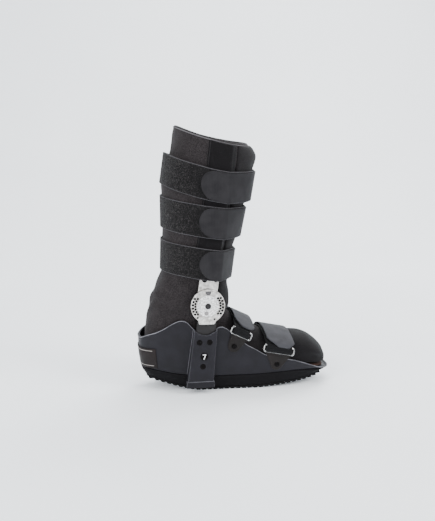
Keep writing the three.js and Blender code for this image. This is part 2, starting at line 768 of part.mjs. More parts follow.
// The stirrup's outline: a straight bar in the housing with a round head on the hinge axis
function stirrupShape(grow, bored = true) {
  const half = stirrupWidth / 2 + grow;
  const foot = housingFoot + 6 - grow;
  const footX = hingeX + (foot - hingeHeight) * Math.tan(radians(stirrupLean));
  const neck = hingeHeight - discRadius * 0.55;
  const neckX = hingeX + (neck - hingeHeight) * Math.tan(radians(stirrupLean));
  const shape = new THREE.Shape();
  shape.moveTo(footX - half, foot);
  shape.lineTo(footX + half, foot);
  shape.lineTo(neckX + half, neck);
  const head = discRadius * 0.92;
  const turn = Math.asin(clamp(half / head, 0, 1));
  const start = -Math.PI / 2 + turn;
  shape.absarc(hingeX, hingeHeight, head, start, start + 2 * Math.PI - 2 * turn, false);
  shape.lineTo(neckX - half, neck);
  if (bored) shape.holes.push(circlePath(hingeX, hingeHeight, pivotShank + fitGap));
  return shape;
}
function circlePath(x, z, radius) {
  return new THREE.Path().absarc(x, z, radius, 0, 2 * Math.PI, true);
}

// The arm's outline: a round eye on the hinge axis and a straight blade with two rivet holes
function armShape() {
  const lean = Math.tan(radians(barLean));
  const half = armWidth / 2;
  const top = hingeHeight + armReach;
  const topX = hingeX + armReach * lean;
  const eye = discRadius * 0.9;
  const turn = Math.asin(half / eye);
  const shape = new THREE.Shape();
  shape.absarc(hingeX, hingeHeight, eye, Math.PI / 2 + turn, Math.PI * 2.5 - turn, false);
  shape.lineTo(topX + half, top);
  shape.lineTo(topX - half, top);
  shape.holes.push(circlePath(hingeX, hingeHeight, pivotShank + fitGap));
  for (const side of [-1, 1]) {
    const [x, z] = armRivetPlace(side);
    shape.holes.push(circlePath(x, z, shankRadius + fitGap));
  }
  return shape;
}
const armRivetRise = 42;
const armRivetSpread = 8.8;
const armRivetPlace = (side) => [
  barLineAt(hingeHeight + armRivetRise) + side * armRivetSpread,
  hingeHeight + armRivetRise,
];

// The cover disc: a round plate with a tab below and a window above
function discShape() {
  const tab = discRadius * 0.46;
  const drop = hingeHeight - discRadius * 1.07;
  const shape = new THREE.Shape();
  const turn = Math.asin(0.5);
  shape.absarc(hingeX, hingeHeight, discRadius, -Math.PI / 2 + turn, Math.PI * 1.5 - turn, false);
  shape.lineTo(hingeX - tab * 0.8, drop);
  shape.lineTo(hingeX + tab * 0.8, drop);
  shape.holes.push(circlePath(hingeX, hingeHeight, pivotShank + fitGap));
  return shape;
}
function coverDisc() {
  const window = sideRod(
    windowRadius,
    hingeX,
    hingeHeight + discRadius * 0.78,
    discInner - 1,
    discOuter + 1,
    12,
  );
  return geometryOf(solidOf(sidePlate(discShape(), discInner, discOuter)).subtract(solidOf(window)));
}

// The side bar: a flat strip up the leg, straight in the side view, that follows the liner
const barLie = range(barSteps + 1).map((i) => {
  const z = barFoot + i * barStep;
  const reach = sideReach([linerMesh], barLineAt, barWidth / 2, z - barStep, z + barStep);
  return { z, y: Math.max(stirrupInner, reach + fitGap) };
});
function sideBar() {
  const grid = (off) =>
    barLie.map(({ z, y }) =>
      [-0.5, 0.5].map((share) => V(barLineAt(z) + share * barWidth, -y - off, z)),
    );
  return sheetBetween(grid(0), grid(barThickness));
}

// The pocket that holds a side bar to the liner: a cloth panel laid over the bar, with its long
// edges down beside it
function pocket() {
  const rows = barLie.filter(({ z }) => z > hingeHeight + armReach + 2);
  const across = [
    { share: -0.5, over: 0 },
    { share: -0.41, over: barThickness + fitGap },
    { share: 0.41, over: barThickness + fitGap },
    { share: 0.5, over: 0 },
  ];
  const lineAt = (z) =>
    hingeX - pocketSetback + (z - hingeHeight) * Math.tan(radians(pocketLean));
  const top = { z: barTop + 6, y: barLie.at(-1).y };
  const grid = (off) =>
    [...rows, top].map(({ z, y }) =>
      across.map(({ share, over }) => V(lineAt(z) + share * pocketWidth, -y - over - off, z)),
    );
  return sheetBetween(grid(0), grid(pocketCloth));
}

// Foot straps: the middle of each ring's lower bar, its slope, the widths of ring and tab, and how
// far aside the chape's rivet is
const footStraps = [
  { name: "instep", x: -0.0015, up: 0.774, slope: 26, ring: 35, tab: 35, aside: -0.7 },
  { name: "forefoot", x: 0.198, up: 0.514, slope: 11.5, ring: 50, tab: 46, aside: 1.9 },
];
const footTabTip = 9; // from the fold on the ring to the tab's round end
const footTabShift = 4; // how far the tab lies towards the toe from the strap's middle
const strapSlant = -0.25; // how far a strap leans to the heel as it rises
const ringHeight = 11;
const ringCorner = 3;
const ringLean = 14;

// A foot strap's own frame: u along the ring's bar towards the toe, v square to it and up
function strapFrame(strap) {
  const slope = radians(strap.slope);
  const u = V(Math.cos(slope), 0, -Math.sin(slope));
  const v = V(Math.sin(slope), 0, Math.cos(slope));
  const bar = V(strap.x * shellLength, 0, strap.up * rimHeight);
  const seats = [-0.5, 0, 0.5].map((share) => {
    const p = bar.clone().addScaledVector(u, share * strap.ring);
    return wallAt(p.x, Math.min(p.z, rimAt(p.x)), 0);
  });
  const lean = radians(ringLean);
  const [leanIn, rise] = [ringHeight * Math.sin(lean), ringHeight * Math.cos(lean)];
  const slantAt = (q) => strapSlant * Math.max(0, q - rise);
  const upOf = (p) => p.clone().sub(bar).dot(v);
  const across = (p) => p.clone().sub(bar).dot(u) - slantAt(upOf(p));
  const half = strap.tab / 2;
  const beside = cornersWithin([linerMesh], across, -half, half + footTabShift);
  const onFoot = beside.map((p) => [-p.y, upOf(p)]).filter(([, q]) => q > 0);
  const lining = Math.max(...onFoot.map(([side]) => side)) + leanIn + footStrapThickness;
  const wall = Math.max(...seats) + chapeThickness;
  const out = Math.max(wall, lining) + wireRadius + 2 * fitGap;
  return { u, v, bar, out, onFoot, slantAt, hook: [out - leanIn, rise] };
}

// A rectangular wire ring, leaning in towards the foot
function wireRing(strap) {
  const { u, v, bar, out } = strapFrame(strap);
  const lean = radians(ringLean);
  const rise = v.clone().multiplyScalar(Math.cos(lean)).add(V(0, Math.sin(lean), 0));
  const origin = bar.clone().setY(-out);
  const path = [];
  const [w, h] = [strap.ring / 2, ringHeight];
  const corners = [
    [w - ringCorner, ringCorner, -90],
    [w - ringCorner, h - ringCorner, 0],
    [-w + ringCorner, h - ringCorner, 90],
    [-w + ringCorner, ringCorner, 180],
  ];
  for (const [a, b, start] of corners) {
    for (const i of range(3)) {
      const angle = radians(start + 45 * i);
      path.push([a + ringCorner * Math.cos(angle), b + ringCorner * Math.sin(angle), angle]);
    }
  }
  const normal = u.clone().cross(rise).normalize();
  const loops = path.map(([a, b, angle]) => {
    const at = origin.clone().addScaledVector(u, a).addScaledVector(rise, b);
    const outward = u.clone().multiplyScalar(Math.cos(angle));
    outward.addScaledVector(rise, Math.sin(angle));
    return range(6).map((k) => {
      const turn = (Math.PI * k) / 3;
      return at
        .clone()
        .addScaledVector(outward, wireRadius * Math.cos(turn))
        .addScaledVector(normal, wireRadius * Math.sin(turn));
    });
  });
  return closedTube(loops);
}

// A closed tube through loops whose last one joins the first
function closedTube(loops) {
  const size = loops[0].length;
  const triangles = [];
  loops.forEach((_, i) => {
    const next = (i + 1) % loops.length;
    for (const j of range(size)) {
      const k = (j + 1) % size;
      const [a, b, c, d] = [i * size + j, i * size + k, next * size + k, next * size + j];
      triangles.push([a, b, c], [a, c, d]);
    }
  });
  return closedGeometry(loops.flat(), triangles);
}

// A fold of webbing round a ring's bar: a thick tube along u
function barFold(centre, u, length, outerRadius, innerRadius) {
  const side = V(0, 1, 0);
  const up = u.clone().cross(side).normalize();
  const ends = [-length / 2, length / 2].map((shift) => centre.clone().addScaledVector(u, shift));
  const tube = (radius, extra) => {
    const loops = ends.map((end, i) =>
      range(8).map((k) => {
        const turn = (Math.PI * k) / 4;
        return end
          .clone()
          .addScaledVector(u, (i ? 1 : -1) * extra)
          .addScaledVector(side, radius * Math.cos(turn))
          .addScaledVector(up, radius * Math.sin(turn));
      }),
    );
    return solidOf(loft(loops));
  };
  return { full: tube(outerRadius, 0), bore: tube(innerRadius, 1) };
}

// A chape: a three-sided plate riveted to the shell, folded round the ring's lower bar
const chapeRivetRise = 19;
const chapeTip = 10;
function chape(strap, wallBlock) {
  const { u, v, bar, out } = strapFrame(strap);
  const { aside } = strap;
  const half = strap.ring / 2 - ringCorner;
  const shape = new THREE.Shape();
  shape.moveTo(half, 0);
  shape.lineTo(-half, 0);
  const turn = Math.atan2(half - chapeTip, chapeRivetRise);
  shape.absarc(aside, -chapeRivetRise, chapeTip, Math.PI + turn, 2 * Math.PI - turn, false);
  shape.closePath();
  const deep = 26;
  const plate = new THREE.ExtrudeGeometry(shape, {
    depth: deep,
    bevelEnabled: false,
    curveSegments: 5,
  });
  const basis = new THREE.Matrix4().makeBasis(u, v, V(0, -1, 0));
  plate.applyMatrix4(basis);
  const faceAt = out - wireRadius - fitGap;
  plate.translate(bar.x, -(faceAt - deep), bar.z);
  const fold = barFold(
    bar.clone().setY(-out),
    u,
    strap.ring - 2 * ringCorner - 1,
    wireRadius + fitGap + chapeThickness * 0.8,
    wireRadius + fitGap,
  );
  const rivetPlace = bar.clone().addScaledVector(v, -chapeRivetRise).addScaledVector(u, aside);
  const hole = sideRod(shankRadius + fitGap, rivetPlace.x, rivetPlace.z, 0, 2 * out, 8);
  const body = solidOf(plate).add(fold.full).subtract(wallBlock);
  const shankFrom = wallAt(rivetPlace.x, rivetPlace.z, 0) + 3 * fitGap;
  return {
    solid: body.subtract(fold.bore).subtract(solidOf(hole)),
    rivet: rivet(rivetPlace.x, rivetPlace.z, shankFrom, faceAt),
  };
}

// A rivet or pin: a shank up to a face, and a head with a bevelled edge on that face
function rivet(x, z, from, face, head = rivetRadius, shank = shankRadius, rise = rivetRise) {
  const profile = [
    [0, from],
    [shank, from],
    [shank, face],
    [head, face],
    [head * 0.85, face + rise],
    [0, face + rise],
  ];
  const geometry = new THREE.LatheGeometry(
    profile.map(([r, y]) => new THREE.Vector2(r, y)),
    8,
  );
  return geometry.rotateX(Math.PI).translate(x, 0, z);
}

// A foot strap's two layers, in the plane square to the ring's bar: taut sides over the liner from
// the outer ring's upper bar to the inner one's. Points are found by side and distance off.
const strapSides = 13;
function strapLayers({ onFoot, hook }) {
  const step = Math.PI / strapSides;
  const inner = hook[0] - wireRadius - 2 * fitGap - footStrapThickness;
  const seats = [...onFoot.filter(([, q]) => q > hook[1]), [inner, hook[1]]];
  const both = (list) => [...list, ...list.map(([p, q]) => [-p, q])];
  const reachIn = (list, angle) =>
    Math.max(...list.map(([p, q]) => p * Math.cos(angle) + q * Math.sin(angle)));
  const under = (angle) => reachIn(both(seats), angle) + fitGap;
  const over = (angle) =>
    Math.max(
      under(angle) + footStrapThickness + fitGap,
      reachIn(both([hook]), angle) + wireRadius + fitGap,
    );
  const layer = (reach) => (column, off) => {
    const whole = clamp(Math.floor(column), 0, strapSides - 2);
    const [a, b] = [whole, whole + 1].map((i) => {
      const side = clamp(i, 0, strapSides - 1);
      return cornerOf((angle) => reach(angle) + off, side, step);
    });
    return [lerp(a[0], b[0], column - whole), lerp(a[1], b[1], column - whole)];
  };
  return { under: layer(under), over: layer(over) };
}

// The columns of a layer at given distances from its outer end
function columnsAt(layer, distances) {
  const corners = range(strapSides).map((i) => layer(i, 0));
  const lengths = [0];
  for (const i of range(strapSides - 1)) {
    const [a, b] = [corners[i], corners[i + 1]];
    lengths.push(lengths[i] + Math.hypot(b[0] - a[0], b[1] - a[1]));
  }
  const total = lengths.at(-1);
  const at = (distance) => {
    const i = clamp(lengths.findIndex((length) => length > distance) - 1, 0, strapSides - 2);
    return i + (distance - lengths[i]) / (lengths[i + 1] - lengths[i]);
  };
  return { total, lengths, columns: distances(total).map(at) };
}

// A strip of strap between two lists of places in the strap's plane, with a width at each
function strapStrip({ u, v, bar, slantAt }, near, far, widths, shift = 0) {
  const side = (places) =>
    places.map(([p, q], i) =>
      [-0.5, 0.5].map((share) =>
        bar
          .clone()
          .addScaledVector(v, q)
          .addScaledVector(u, share * widths[i] + shift + slantAt(q))
          .setY(-p),
      ),
    );
  return sheetBetween(side(near), side(far));
}

// The base strap: a short return outside one ring's bar, round it, over the foot, and the same
// at the other ring
const returnLength = 5;
const foldSteps = 4;
function baseStrap(strap, frame, layers) {
  const { hook } = frame;
  const t = footStrapThickness;
  const [end] = columnsAt(layers.over, () => [returnLength]).columns;
  const turns = range(foldSteps + 1).map((i) => -(Math.PI * i) / foldSteps);
  const fold = (radius) =>
    turns.map((turn) => [hook[0] + radius * Math.cos(turn), hook[1] + radius * Math.sin(turn)]);
  const short = range(Math.ceil(end)).reverse();
  const half = (near) => {
    const folded = fold(wireRadius + fitGap + (near ? 0 : t));
    const back = [end, ...short].map((column) => layers.over(column, near ? 0 : t));
    return [...back, ...folded];
  };
  const over = (near) => range(strapSides).map((i) => layers.under(i, near ? t : 0));
  const flip = (list) => list.map(([p, q]) => [-p, q]).reverse();
  const [near, far] = [true, false].map((side) => [
    ...half(side),
    ...over(side),
    ...flip(half(side)),
  ]);
  const width = strap.ring - 2 * ringCorner - 1;
  return strapStrip(
    frame,
    near,
    far,
    near.map(() => width),
  );
}

// The grey tab on top: from the inner side over the foot to its round end above the outer ring
function footTab(strap, frame, layers) {
  const { tab } = strap;
  const tips = [0, 0.03, 0.1, 0.23, 0.4].map((share) => footTabTip + share * tab);
  const made = columnsAt(layers.over, (total) => [...tips, total - tips.at(-1)]);
  const [first, last] = [made.columns[0], made.columns.at(-1)];
  const whole = range(strapSides).filter((i) => i > first && i < last);
  const columns = [...made.columns, ...whole]
    .sort((a, b) => a - b)
    .filter((a, i, all) => i === 0 || a - all[i - 1] > 0.01);
  const widths = columns.map((column) => {
    const i = Math.floor(column);
    const beyond = made.lengths[Math.min(i + 1, strapSides - 1)] - made.lengths[i];
    const distance = made.lengths[i] + (column - i) * beyond - footTabTip;
    return 2 * roundEnd(1.3 * distance, tab / 2);
  });
  const side = (off) => columns.map((column) => layers.over(column, off));
  return strapStrip(frame, side(0), side(footStrapThickness), widths, footTabShift);
}

// Midsole: a band that swells out below the shell, from the tread up to the shell's underside
function midsole() {
  return loft(
    midsoleLevels.map(({ lean, height }) => outline(lean, height)),
    "ladder",
  );
}

// Outsole: a sheet of tread under the midsole, cut across by grooves between the lugs
function outsole() {
  const levels = [
    { lean: shellDraft + soleDraft + 0.8, height: (x) => soleLiftAt(x) },
    { lean: shellDraft + soleDraft - 0.2, height: (x) => soleLiftAt(x) + treadDepth },
  ];
  let tread = solidOf(
    loft(
      levels.map(({ lean, height }) => outline(lean, height)),
      "ladder",
    ),
  );
  const grooves = Math.floor((shellLength - 2 * shellDraft) / 2 / toothPitch);
  for (const i of range(2 * grooves)) {
    const x = (i - grooves + 0.5) * toothPitch;
    const groove = new THREE.BoxGeometry(toothPitch * 0.34, 4 * ballHalfWidth, 2 * toothDepth);
    const slope = (soleLiftAt(x + 1) - soleLiftAt(x - 1)) / 2;
    groove.rotateY(-Math.atan(slope));
    tread = tread.subtract(solidOf(groove.translate(x, 0, soleLiftAt(x))));
  }
  return geometryOf(tread);
}

// Insole: a foam sheet on the shell's floor
function insole() {
  const lean = shellDraft + shellWall + 0.5;
  return loft(
    [
      outline(lean + 0.6, (x) => floorTopAt(x) + fitGap),
      outline(lean, (x) => floorTopAt(x) + fitGap + insoleThickness),
    ],
    "ladder",
  );
}

// Heel label: a thin patch round the heel, between two heights
function heelLabel() {
  const steps = 8;
  const grid = (off) =>
    range(2 * steps + 1).map((i) => {
      const share = (i - steps) / steps;
      return [0, 1].map((rise) => {
        const z = rimHeight * lerp(labelFrom, labelTo, rise);
        const low = soleTopAt(-shellLength / 2);
        const high = rimAt(-shellLength / 2);
        const inset = leanAt(clamp((high - z) / (high - low), 0, 1)) - 2 * fitGap - off;
        const length = shellLength - 2 * inset;
        const x = (-0.5 + labelReach * share * share) * length;
        return V(x, -Math.sign(share) * halfWidthAt(x, inset), z);
      });
    });
  return sheetBetween(grid(0), grid(labelThickness));
}

// Assembly
addMesh("foot_shell", shellWithHousings(), shellPlastic);
addMesh("midsole", midsole(), soleRubber);
addMesh("outsole_tread", outsole(), treadRubber);
addMesh("insole", insole(), insoleFoam);
addMesh("heel_label", heelLabel(), treadRubber);

addPair("stirrup", sidePlate(stirrupShape(0), stirrupInner, stirrupOuter), blackSteel);
const arms = addPair("hinge_arm", sidePlate(armShape(), armInner, armOuter), aluminium);
addPair("hinge_disc", coverDisc(), aluminium);
const pin = rivet(hingeX, hingeHeight, stirrupInner, discOuter, pivotRadius, pivotShank, 1.2);
addPair("hinge_pivot", pin, blackSteel);
const armRivets = ["rear", "front"].flatMap((name, i) =>
  addPair(`rivet_arm_${name}`, rivet(...armRivetPlace(2 * i - 1), armInner, armOuter), rivetBlack),
);
const sunkFace = housingOuter - sinkDepth;
for (const { name, x, up } of housingRivets) {
  const geometry = rivet(x * shellLength, up * rimHeight, stirrupOuter + 2 * fitGap, sunkFace);
  addPair(`rivet_housing_${name}`, geometry, rivetBlack);
}
const plug = sideRod(
  numberPlug.radius,
  numberPlug.x * shellLength,
  numberPlug.up * rimHeight,
  sunkFace,
  housingOuter + sinkDepth,
);
addPair("number_plug", plug, rivetBlack);

const bars = addPair("side_bar", sideBar(), blackSteel);
const pockets = addPair("bar_pocket", pocket(), pocketFabric);
const underBands = [linerMesh, flapMesh, ...bars, ...pockets, ...arms, ...armRivets];
for (const strap of legStraps) {
  const belt = tautBelt(strap, underBands);
  addMesh(`leg_band_${strap.name}`, legBand(belt), loopPile);
  addMesh(`leg_tab_${strap.name}`, legTab(strap, belt), strapCloth);
}

const wallBlock = fillingBlock(-fitGap);
for (const strap of footStraps) {
  const frame = strapFrame(strap);
  const { solid, rivet: pinned } = chape(strap, wallBlock);
  addPair(`ring_${strap.name}`, wireRing(strap), steel);
  addPair(`chape_${strap.name}`, geometryOf(solid), chapeRubber);
  addPair(`rivet_chape_${strap.name}`, pinned, rivetBlack);
  const layers = strapLayers(frame);
  addMesh(`foot_strap_${strap.name}`, baseStrap(strap, frame, layers), footWebbing);
  addMesh(`foot_tab_${strap.name}`, footTab(strap, frame, layers), strapCloth);
}

export default group;
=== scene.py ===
"""Looks of a hinged medical walking boot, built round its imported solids.
Lengths are in millimetres in the row frame until a mesh is made, and metres after that."""

from math import asin, atan2, copysign, cos, dist, exp, pi, radians, sin, sqrt, tan

import bpy
import numpy as np
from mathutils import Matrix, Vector, noise
from mathutils.bvhtree import BVHTree


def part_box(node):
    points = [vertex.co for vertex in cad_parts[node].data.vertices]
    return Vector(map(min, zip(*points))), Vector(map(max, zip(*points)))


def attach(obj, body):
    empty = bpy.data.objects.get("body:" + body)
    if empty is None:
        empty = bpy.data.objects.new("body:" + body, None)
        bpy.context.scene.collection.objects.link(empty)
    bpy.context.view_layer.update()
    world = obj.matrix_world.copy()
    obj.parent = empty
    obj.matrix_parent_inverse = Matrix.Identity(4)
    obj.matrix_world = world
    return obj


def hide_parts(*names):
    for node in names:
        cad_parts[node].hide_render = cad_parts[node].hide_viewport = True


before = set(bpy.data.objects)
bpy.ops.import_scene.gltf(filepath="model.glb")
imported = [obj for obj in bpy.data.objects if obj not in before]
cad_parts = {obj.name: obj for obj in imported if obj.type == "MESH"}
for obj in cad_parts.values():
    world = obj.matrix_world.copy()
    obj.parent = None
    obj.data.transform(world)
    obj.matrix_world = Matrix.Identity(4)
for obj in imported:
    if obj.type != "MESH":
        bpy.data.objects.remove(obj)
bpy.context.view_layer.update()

MM = 0.001

# Sizes of the shell, the sole and the liner, as in the solids
SHELL_LENGTH = 318
HEEL_HALF, WAIST_HALF, BALL_HALF = 49, 53, 58
RIM_HEIGHT = 118.5
SHELL_WALL = 3
SHELL_DRAFT, SOLE_DRAFT, SIDE_DRAFT = 5, 7, 0.8
SOLE_HEIGHT = 25
ROCKER_LIFT = 17
TREAD_DEPTH, TOOTH_DEPTH, TOOTH_PITCH, LUG_GAP = 4.5, 1.8, 9.4, 1.3
INSOLE_THICKNESS = 3
FIT_GAP = 0.35
BOOT_HEIGHT, HINGE_HEIGHT, HINGE_SETBACK = 426, 145, 105.4
CALF_DEPTH, CALF_HALF = 160, 62
LINER_WALL, LINER_EASE = 8, 2
BAR_LEAN, POCKET_LEAN, POCKET_SETBACK, POCKET_WIDTH = 5.4, 7.2, 6.4, 46
BAND_WIDTH, BAND_THICKNESS = 50, 2.4
TAB_WIDTH, TAB_THICKNESS = 47, 1.8
FOOT_STRAP_THICKNESS = 2.2
WIRE_RADIUS, RING_HEIGHT, RING_CORNER, RING_LEAN = 1.5, 11, 3, 14
# Powers of the liner's sections: 2 is an ellipse, and more is squarer
ROUND_POWER, SOLE_POWER = 2.15, 3
HINGE_X = HINGE_SETBACK - SHELL_LENGTH / 2
LEG_RISE = BOOT_HEIGHT - HINGE_HEIGHT


class Table:
    """Smooth curves through the rows of a table, by the table's first column."""

    def __init__(self, columns, rows):
        names = columns.split()
        self.values = {n: np.array([row[i] for row in rows], float) for i, n in enumerate(names)}
        self.place = self.values[names[0]]

    def __call__(self, column, at):
        x, y = self.place, self.values[column]
        at = np.asarray(at, float)
        last = len(x) - 1
        after, before = np.minimum(np.arange(last + 1) + 1, last), np.maximum(np.arange(last + 1) - 1, 0)
        slope = (y[after] - y[before]) / (x[after] - x[before])
        i = np.clip(np.searchsorted(x, at) - 1, 0, last - 1)
        span = x[i + 1] - x[i]
        t = np.clip((at - x[i]) / span, 0, 1)
        return (
            (2 * t**3 - 3 * t**2 + 1) * y[i]
            + (t**3 - 2 * t**2 + t) * span * slope[i]
            + (3 * t**2 - 2 * t**3) * y[i + 1]
            + (t**3 - t**2) * span * slope[i + 1]
        )


RIM = Table(
    "at rise",
    [
        (0, 0.722), (0.013, 0.743), (0.028, 0.77), (0.047, 0.795), (0.082, 0.832), (0.12, 0.886),
        (0.164, 0.962), (0.2, 1), (0.232, 0.982), (0.26, 0.902), (0.29, 0.842), (0.327, 0.818),
        (0.366, 0.858), (0.395, 0.908), (0.422, 0.898), (0.464, 0.81), (0.524, 0.667),
        (0.584, 0.575), (0.635, 0.495), (0.7, 0.44), (0.777, 0.4), (0.84, 0.342), (0.89, 0.287),
        (0.93, 0.245), (0.965, 0.222), (1, 0.214),
    ],
)
SOLE = Table(
    "at top lift",
    [
        (0, 1.54, 1.04), (0.05, 1.44, 1), (0.1, 1.35, 0.8), (0.165, 1.2, 0.48), (0.22, 1.12, 0.22),
        (0.265, 1.07, 0.07), (0.305, 1.03, 0), (0.38, 1, 0), (0.45, 1, 0), (0.52, 1, 0),
        (0.6, 1.02, 0), (0.64, 1.04, 0.06), (0.76, 1.1, 0.26), (0.84, 1.08, 0.44), (0.9, 1.02, 0.6),
        (0.95, 0.91, 0.74), (1, 0.8, 0.86),
    ],
)
LEG_ROWS = [
    # up, back, front, drop, wide, sag
    (-0.007, -0.537, 0.242, 0.0125, 0.745, 0),
    (0.1, -0.474, 0.237, 0.094, 0.77, 0),
    (0.196, -0.395, 0.224, 0.125, 0.82, 0),
    (0.349, -0.402, 0.275, 0.08, 0.9, 0.01),
    (0.434, -0.397, 0.307, 0.12, 0.955, 0.01),
    (0.601, -0.402, 0.37, 0.12, 0.995, 0.015),
    (0.669, -0.402, 0.413, 0.16, 1, 0.02),
    (0.772, -0.372, 0.44, 0.18, 1, 0.025),
    (0.847, -0.318, 0.475, 0.17, 0.985, 0.03),
    (0.915, -0.297, 0.512, 0.155, 0.98, 0.03),
    (1, -0.274, 0.469, 0.19, 0.965, 0.03),
]
LEG = Table("up back front drop wide sag", LEG_ROWS)
FOOT_ROWS = [
    # back end along, up, front end along, up, width
    (0.044, 0.805, 0.452, 0.905, 0.79),
    (0.035, 0.634, 0.459, 0.854, 0.775),
    (0.0315, 0.455, 0.485, 0.806, 0.765),
    (0.044, 0.297, 0.517, 0.758, 0.765),
    (0.104, 0.228, 0.552, 0.716, 0.79),
    (0.2, 0.21, 0.593, 0.673, 0.81),
    (0.327, 0.21, 0.638, 0.62, 0.83),
    (0.469, 0.21, 0.686, 0.58, 0.86),
    (0.626, 0.21, 0.741, 0.553, 0.905),
    (0.752, 0.22, 0.813, 0.57, 0.92),
    (0.846, 0.225, 0.874, 0.55, 0.88),
    (0.909, 0.22, 0.928, 0.478, 0.76),
    (0.95, 0.217, 0.965, 0.393, 0.58),
    (0.972, 0.225, 0.981, 0.317, 0.36),
    (0.981, 0.248, 0.986, 0.283, 0.13),
]


def smoothstep(x, low, high):
    t = np.clip((np.asarray(x, float) - low) / (high - low), 0, 1)
    return t * t * (3 - 2 * t)


def mix(a, b, t):
    return a + (b - a) * t


def turns_of(count):
    """Angles spread evenly round a circle."""
    return np.arange(count) * 2 * pi / count


def ways_at(turns):
    """Directions in a plane, one for each angle."""
    return np.stack([np.cos(turns), np.sin(turns)], 1)


def unit(ways):
    """The same directions with a length of 1."""
    return ways / np.maximum(np.linalg.norm(ways, axis=-1, keepdims=True), 1e-9)


def beside(along):
    """Directions to the right of a line in a plane."""
    return np.stack([along[..., 1], -along[..., 0]], -1)


def distances_along(line):
    """How far each point of a line is from its first one, along the line."""
    return np.concatenate([[0], np.cumsum(np.linalg.norm(np.diff(line, axis=0), axis=1))])


def places_along(line, far, at):
    """Places on a line in a plane, by their distance along it."""
    return np.stack([np.interp(at, far, line[:, k]) for k in (0, 1)], -1)


def rectangle(left, right, low, high):
    return [(left, low), (right, low), (right, high), (left, high)]


def circle(x, z, radius, count=32):
    return [(x + radius * cos(t), z + radius * sin(t)) for t in turns_of(count)]


def share_of(x):
    return np.clip(np.asarray(x) / SHELL_LENGTH + 0.5, 0, 1)


def rim_at(x):
    return RIM_HEIGHT * RIM("rise", share_of(x))


def sole_top_at(x):
    return SOLE_HEIGHT * SOLE("top", share_of(x))


def sole_lift_at(x):
    return ROCKER_LIFT * np.maximum(0, SOLE("lift", share_of(x)))


def bed_at(x):
    return sole_top_at(x) + SHELL_WALL + INSOLE_THICKNESS + 3 * FIT_GAP


def half_width_at(x, inset):
    """Half the shell's width at x, for an outline drawn in by an inset."""
    u = np.clip(2 * x / (SHELL_LENGTH - 2 * inset), -1, 1)
    rear = mix(HEEL_HALF, WAIST_HALF, smoothstep(u, -0.8, -0.35))
    full = mix(rear, BALL_HALF, smoothstep(u, -0.25, 0.5))
    return (full - inset * SIDE_DRAFT) * np.cbrt(1 - np.abs(u) ** 3)


def wall_at(x, z, inset):
    """The shell wall's outer half-width at a place in the side view."""
    low = sole_top_at(x)
    down = np.clip((rim_at(x) - z) / (rim_at(x) - low), 0, 1)
    below = np.clip((low - z) / SOLE_HEIGHT, 0, 1)
    return half_width_at(x, SHELL_DRAFT * down**2 + SOLE_DRAFT * below + inset)


def section_rows():
    """The liner's sections, from its rim down the leg and along the foot, in millimetres."""
    rows = []
    for up, back, front, drop, wide, sag in reversed(LEG_ROWS):
        height = HINGE_HEIGHT + up * LEG_RISE
        back_end = (HINGE_X + back * CALF_DEPTH, height)
        front_end = (HINGE_X + front * CALF_DEPTH, height - drop * CALF_DEPTH)
        rows.append((*back_end, *front_end, wide * CALF_HALF, sag * CALF_DEPTH, ROUND_POWER, 0))
    for i, (back_at, back_up, front_at, front_up, wide) in enumerate(FOOT_ROWS):
        foot = float(smoothstep(i, 2, 6))
        back_end = ((back_at - 0.5) * SHELL_LENGTH, back_up * HINGE_HEIGHT)
        front_end = ((front_at - 0.5) * SHELL_LENGTH, front_up * HINGE_HEIGHT)
        rows.append((*back_end, *front_end, wide * BALL_HALF, 0, mix(ROUND_POWER, SOLE_POWER, foot), foot))
    return [(i, *row) for i, row in enumerate(rows)]


SECTIONS = Table("at backX backZ frontX frontZ half sag square foot", section_rows())
LAST_SECTION = len(SECTIONS.place) - 1


def liner_loop(at, inset, angles):
    """The liner's section at a place along its table, drawn in by an inset."""
    get = {n: float(SECTIONS(n, at)) for n in SECTIONS.values}
    back = np.array([get["backX"], get["backZ"]])
    front = np.array([get["frontX"], get["frontZ"]])
    axis = (front - back) / np.linalg.norm(front - back)
    back, front = back + axis * inset, front - axis * inset
    half = get["half"] - inset
    middle = mix(back, front, mix(0.5, 0.42, get["foot"]))
    c, s = np.cos(angles), np.sin(angles)
    power = 2 / np.where(c < 0, get["square"], ROUND_POWER)
    reach = np.abs(c) ** power
    side = np.sign(s) * np.abs(s) ** power
    end = np.where((c < 0)[:, None], back, front)
    p = middle + (end - middle) * reach[:, None]
    x, z = p[:, 0], p[:, 1] - get["sag"] * side**2
    y = -side * half
    z = np.maximum(z, bed_at(x) + FIT_GAP + inset)
    most = np.maximum(1, wall_at(x, z, SHELL_WALL + LINER_EASE) - inset)
    held = smoothstep(z, rim_at(x) + 26, rim_at(x) + 14)
    y = mix(y, np.clip(y, -most, most), held)
    return np.stack([x, y, z], 1)


# Making meshes from grids of points


def linked(name, data):
    """A new object in the scene."""
    obj = bpy.data.objects.new(name, data)
    bpy.context.scene.collection.objects.link(obj)
    return obj


def mesh_object(name, points, faces, smooth=True):
    mesh = bpy.data.meshes.new(name)
    mesh.from_pydata((np.asarray(points) * MM).tolist(), [], faces)
    mesh.validate()
    if smooth:
        mesh.shade_smooth()
    return linked(name, mesh)


def grid_faces(rows, columns, wrap_rows=False, wrap_columns=True, start=0):
    faces = []
    for i in range(rows if wrap_rows else rows - 1):
        for j in range(columns if wrap_columns else columns - 1):
            a, b = start + i * columns + j, start + i * columns + (j + 1) % columns
            k = (i + 1) % rows
            faces.append((a, b, start + k * columns + (j + 1) % columns, start + k * columns + j))
    return faces


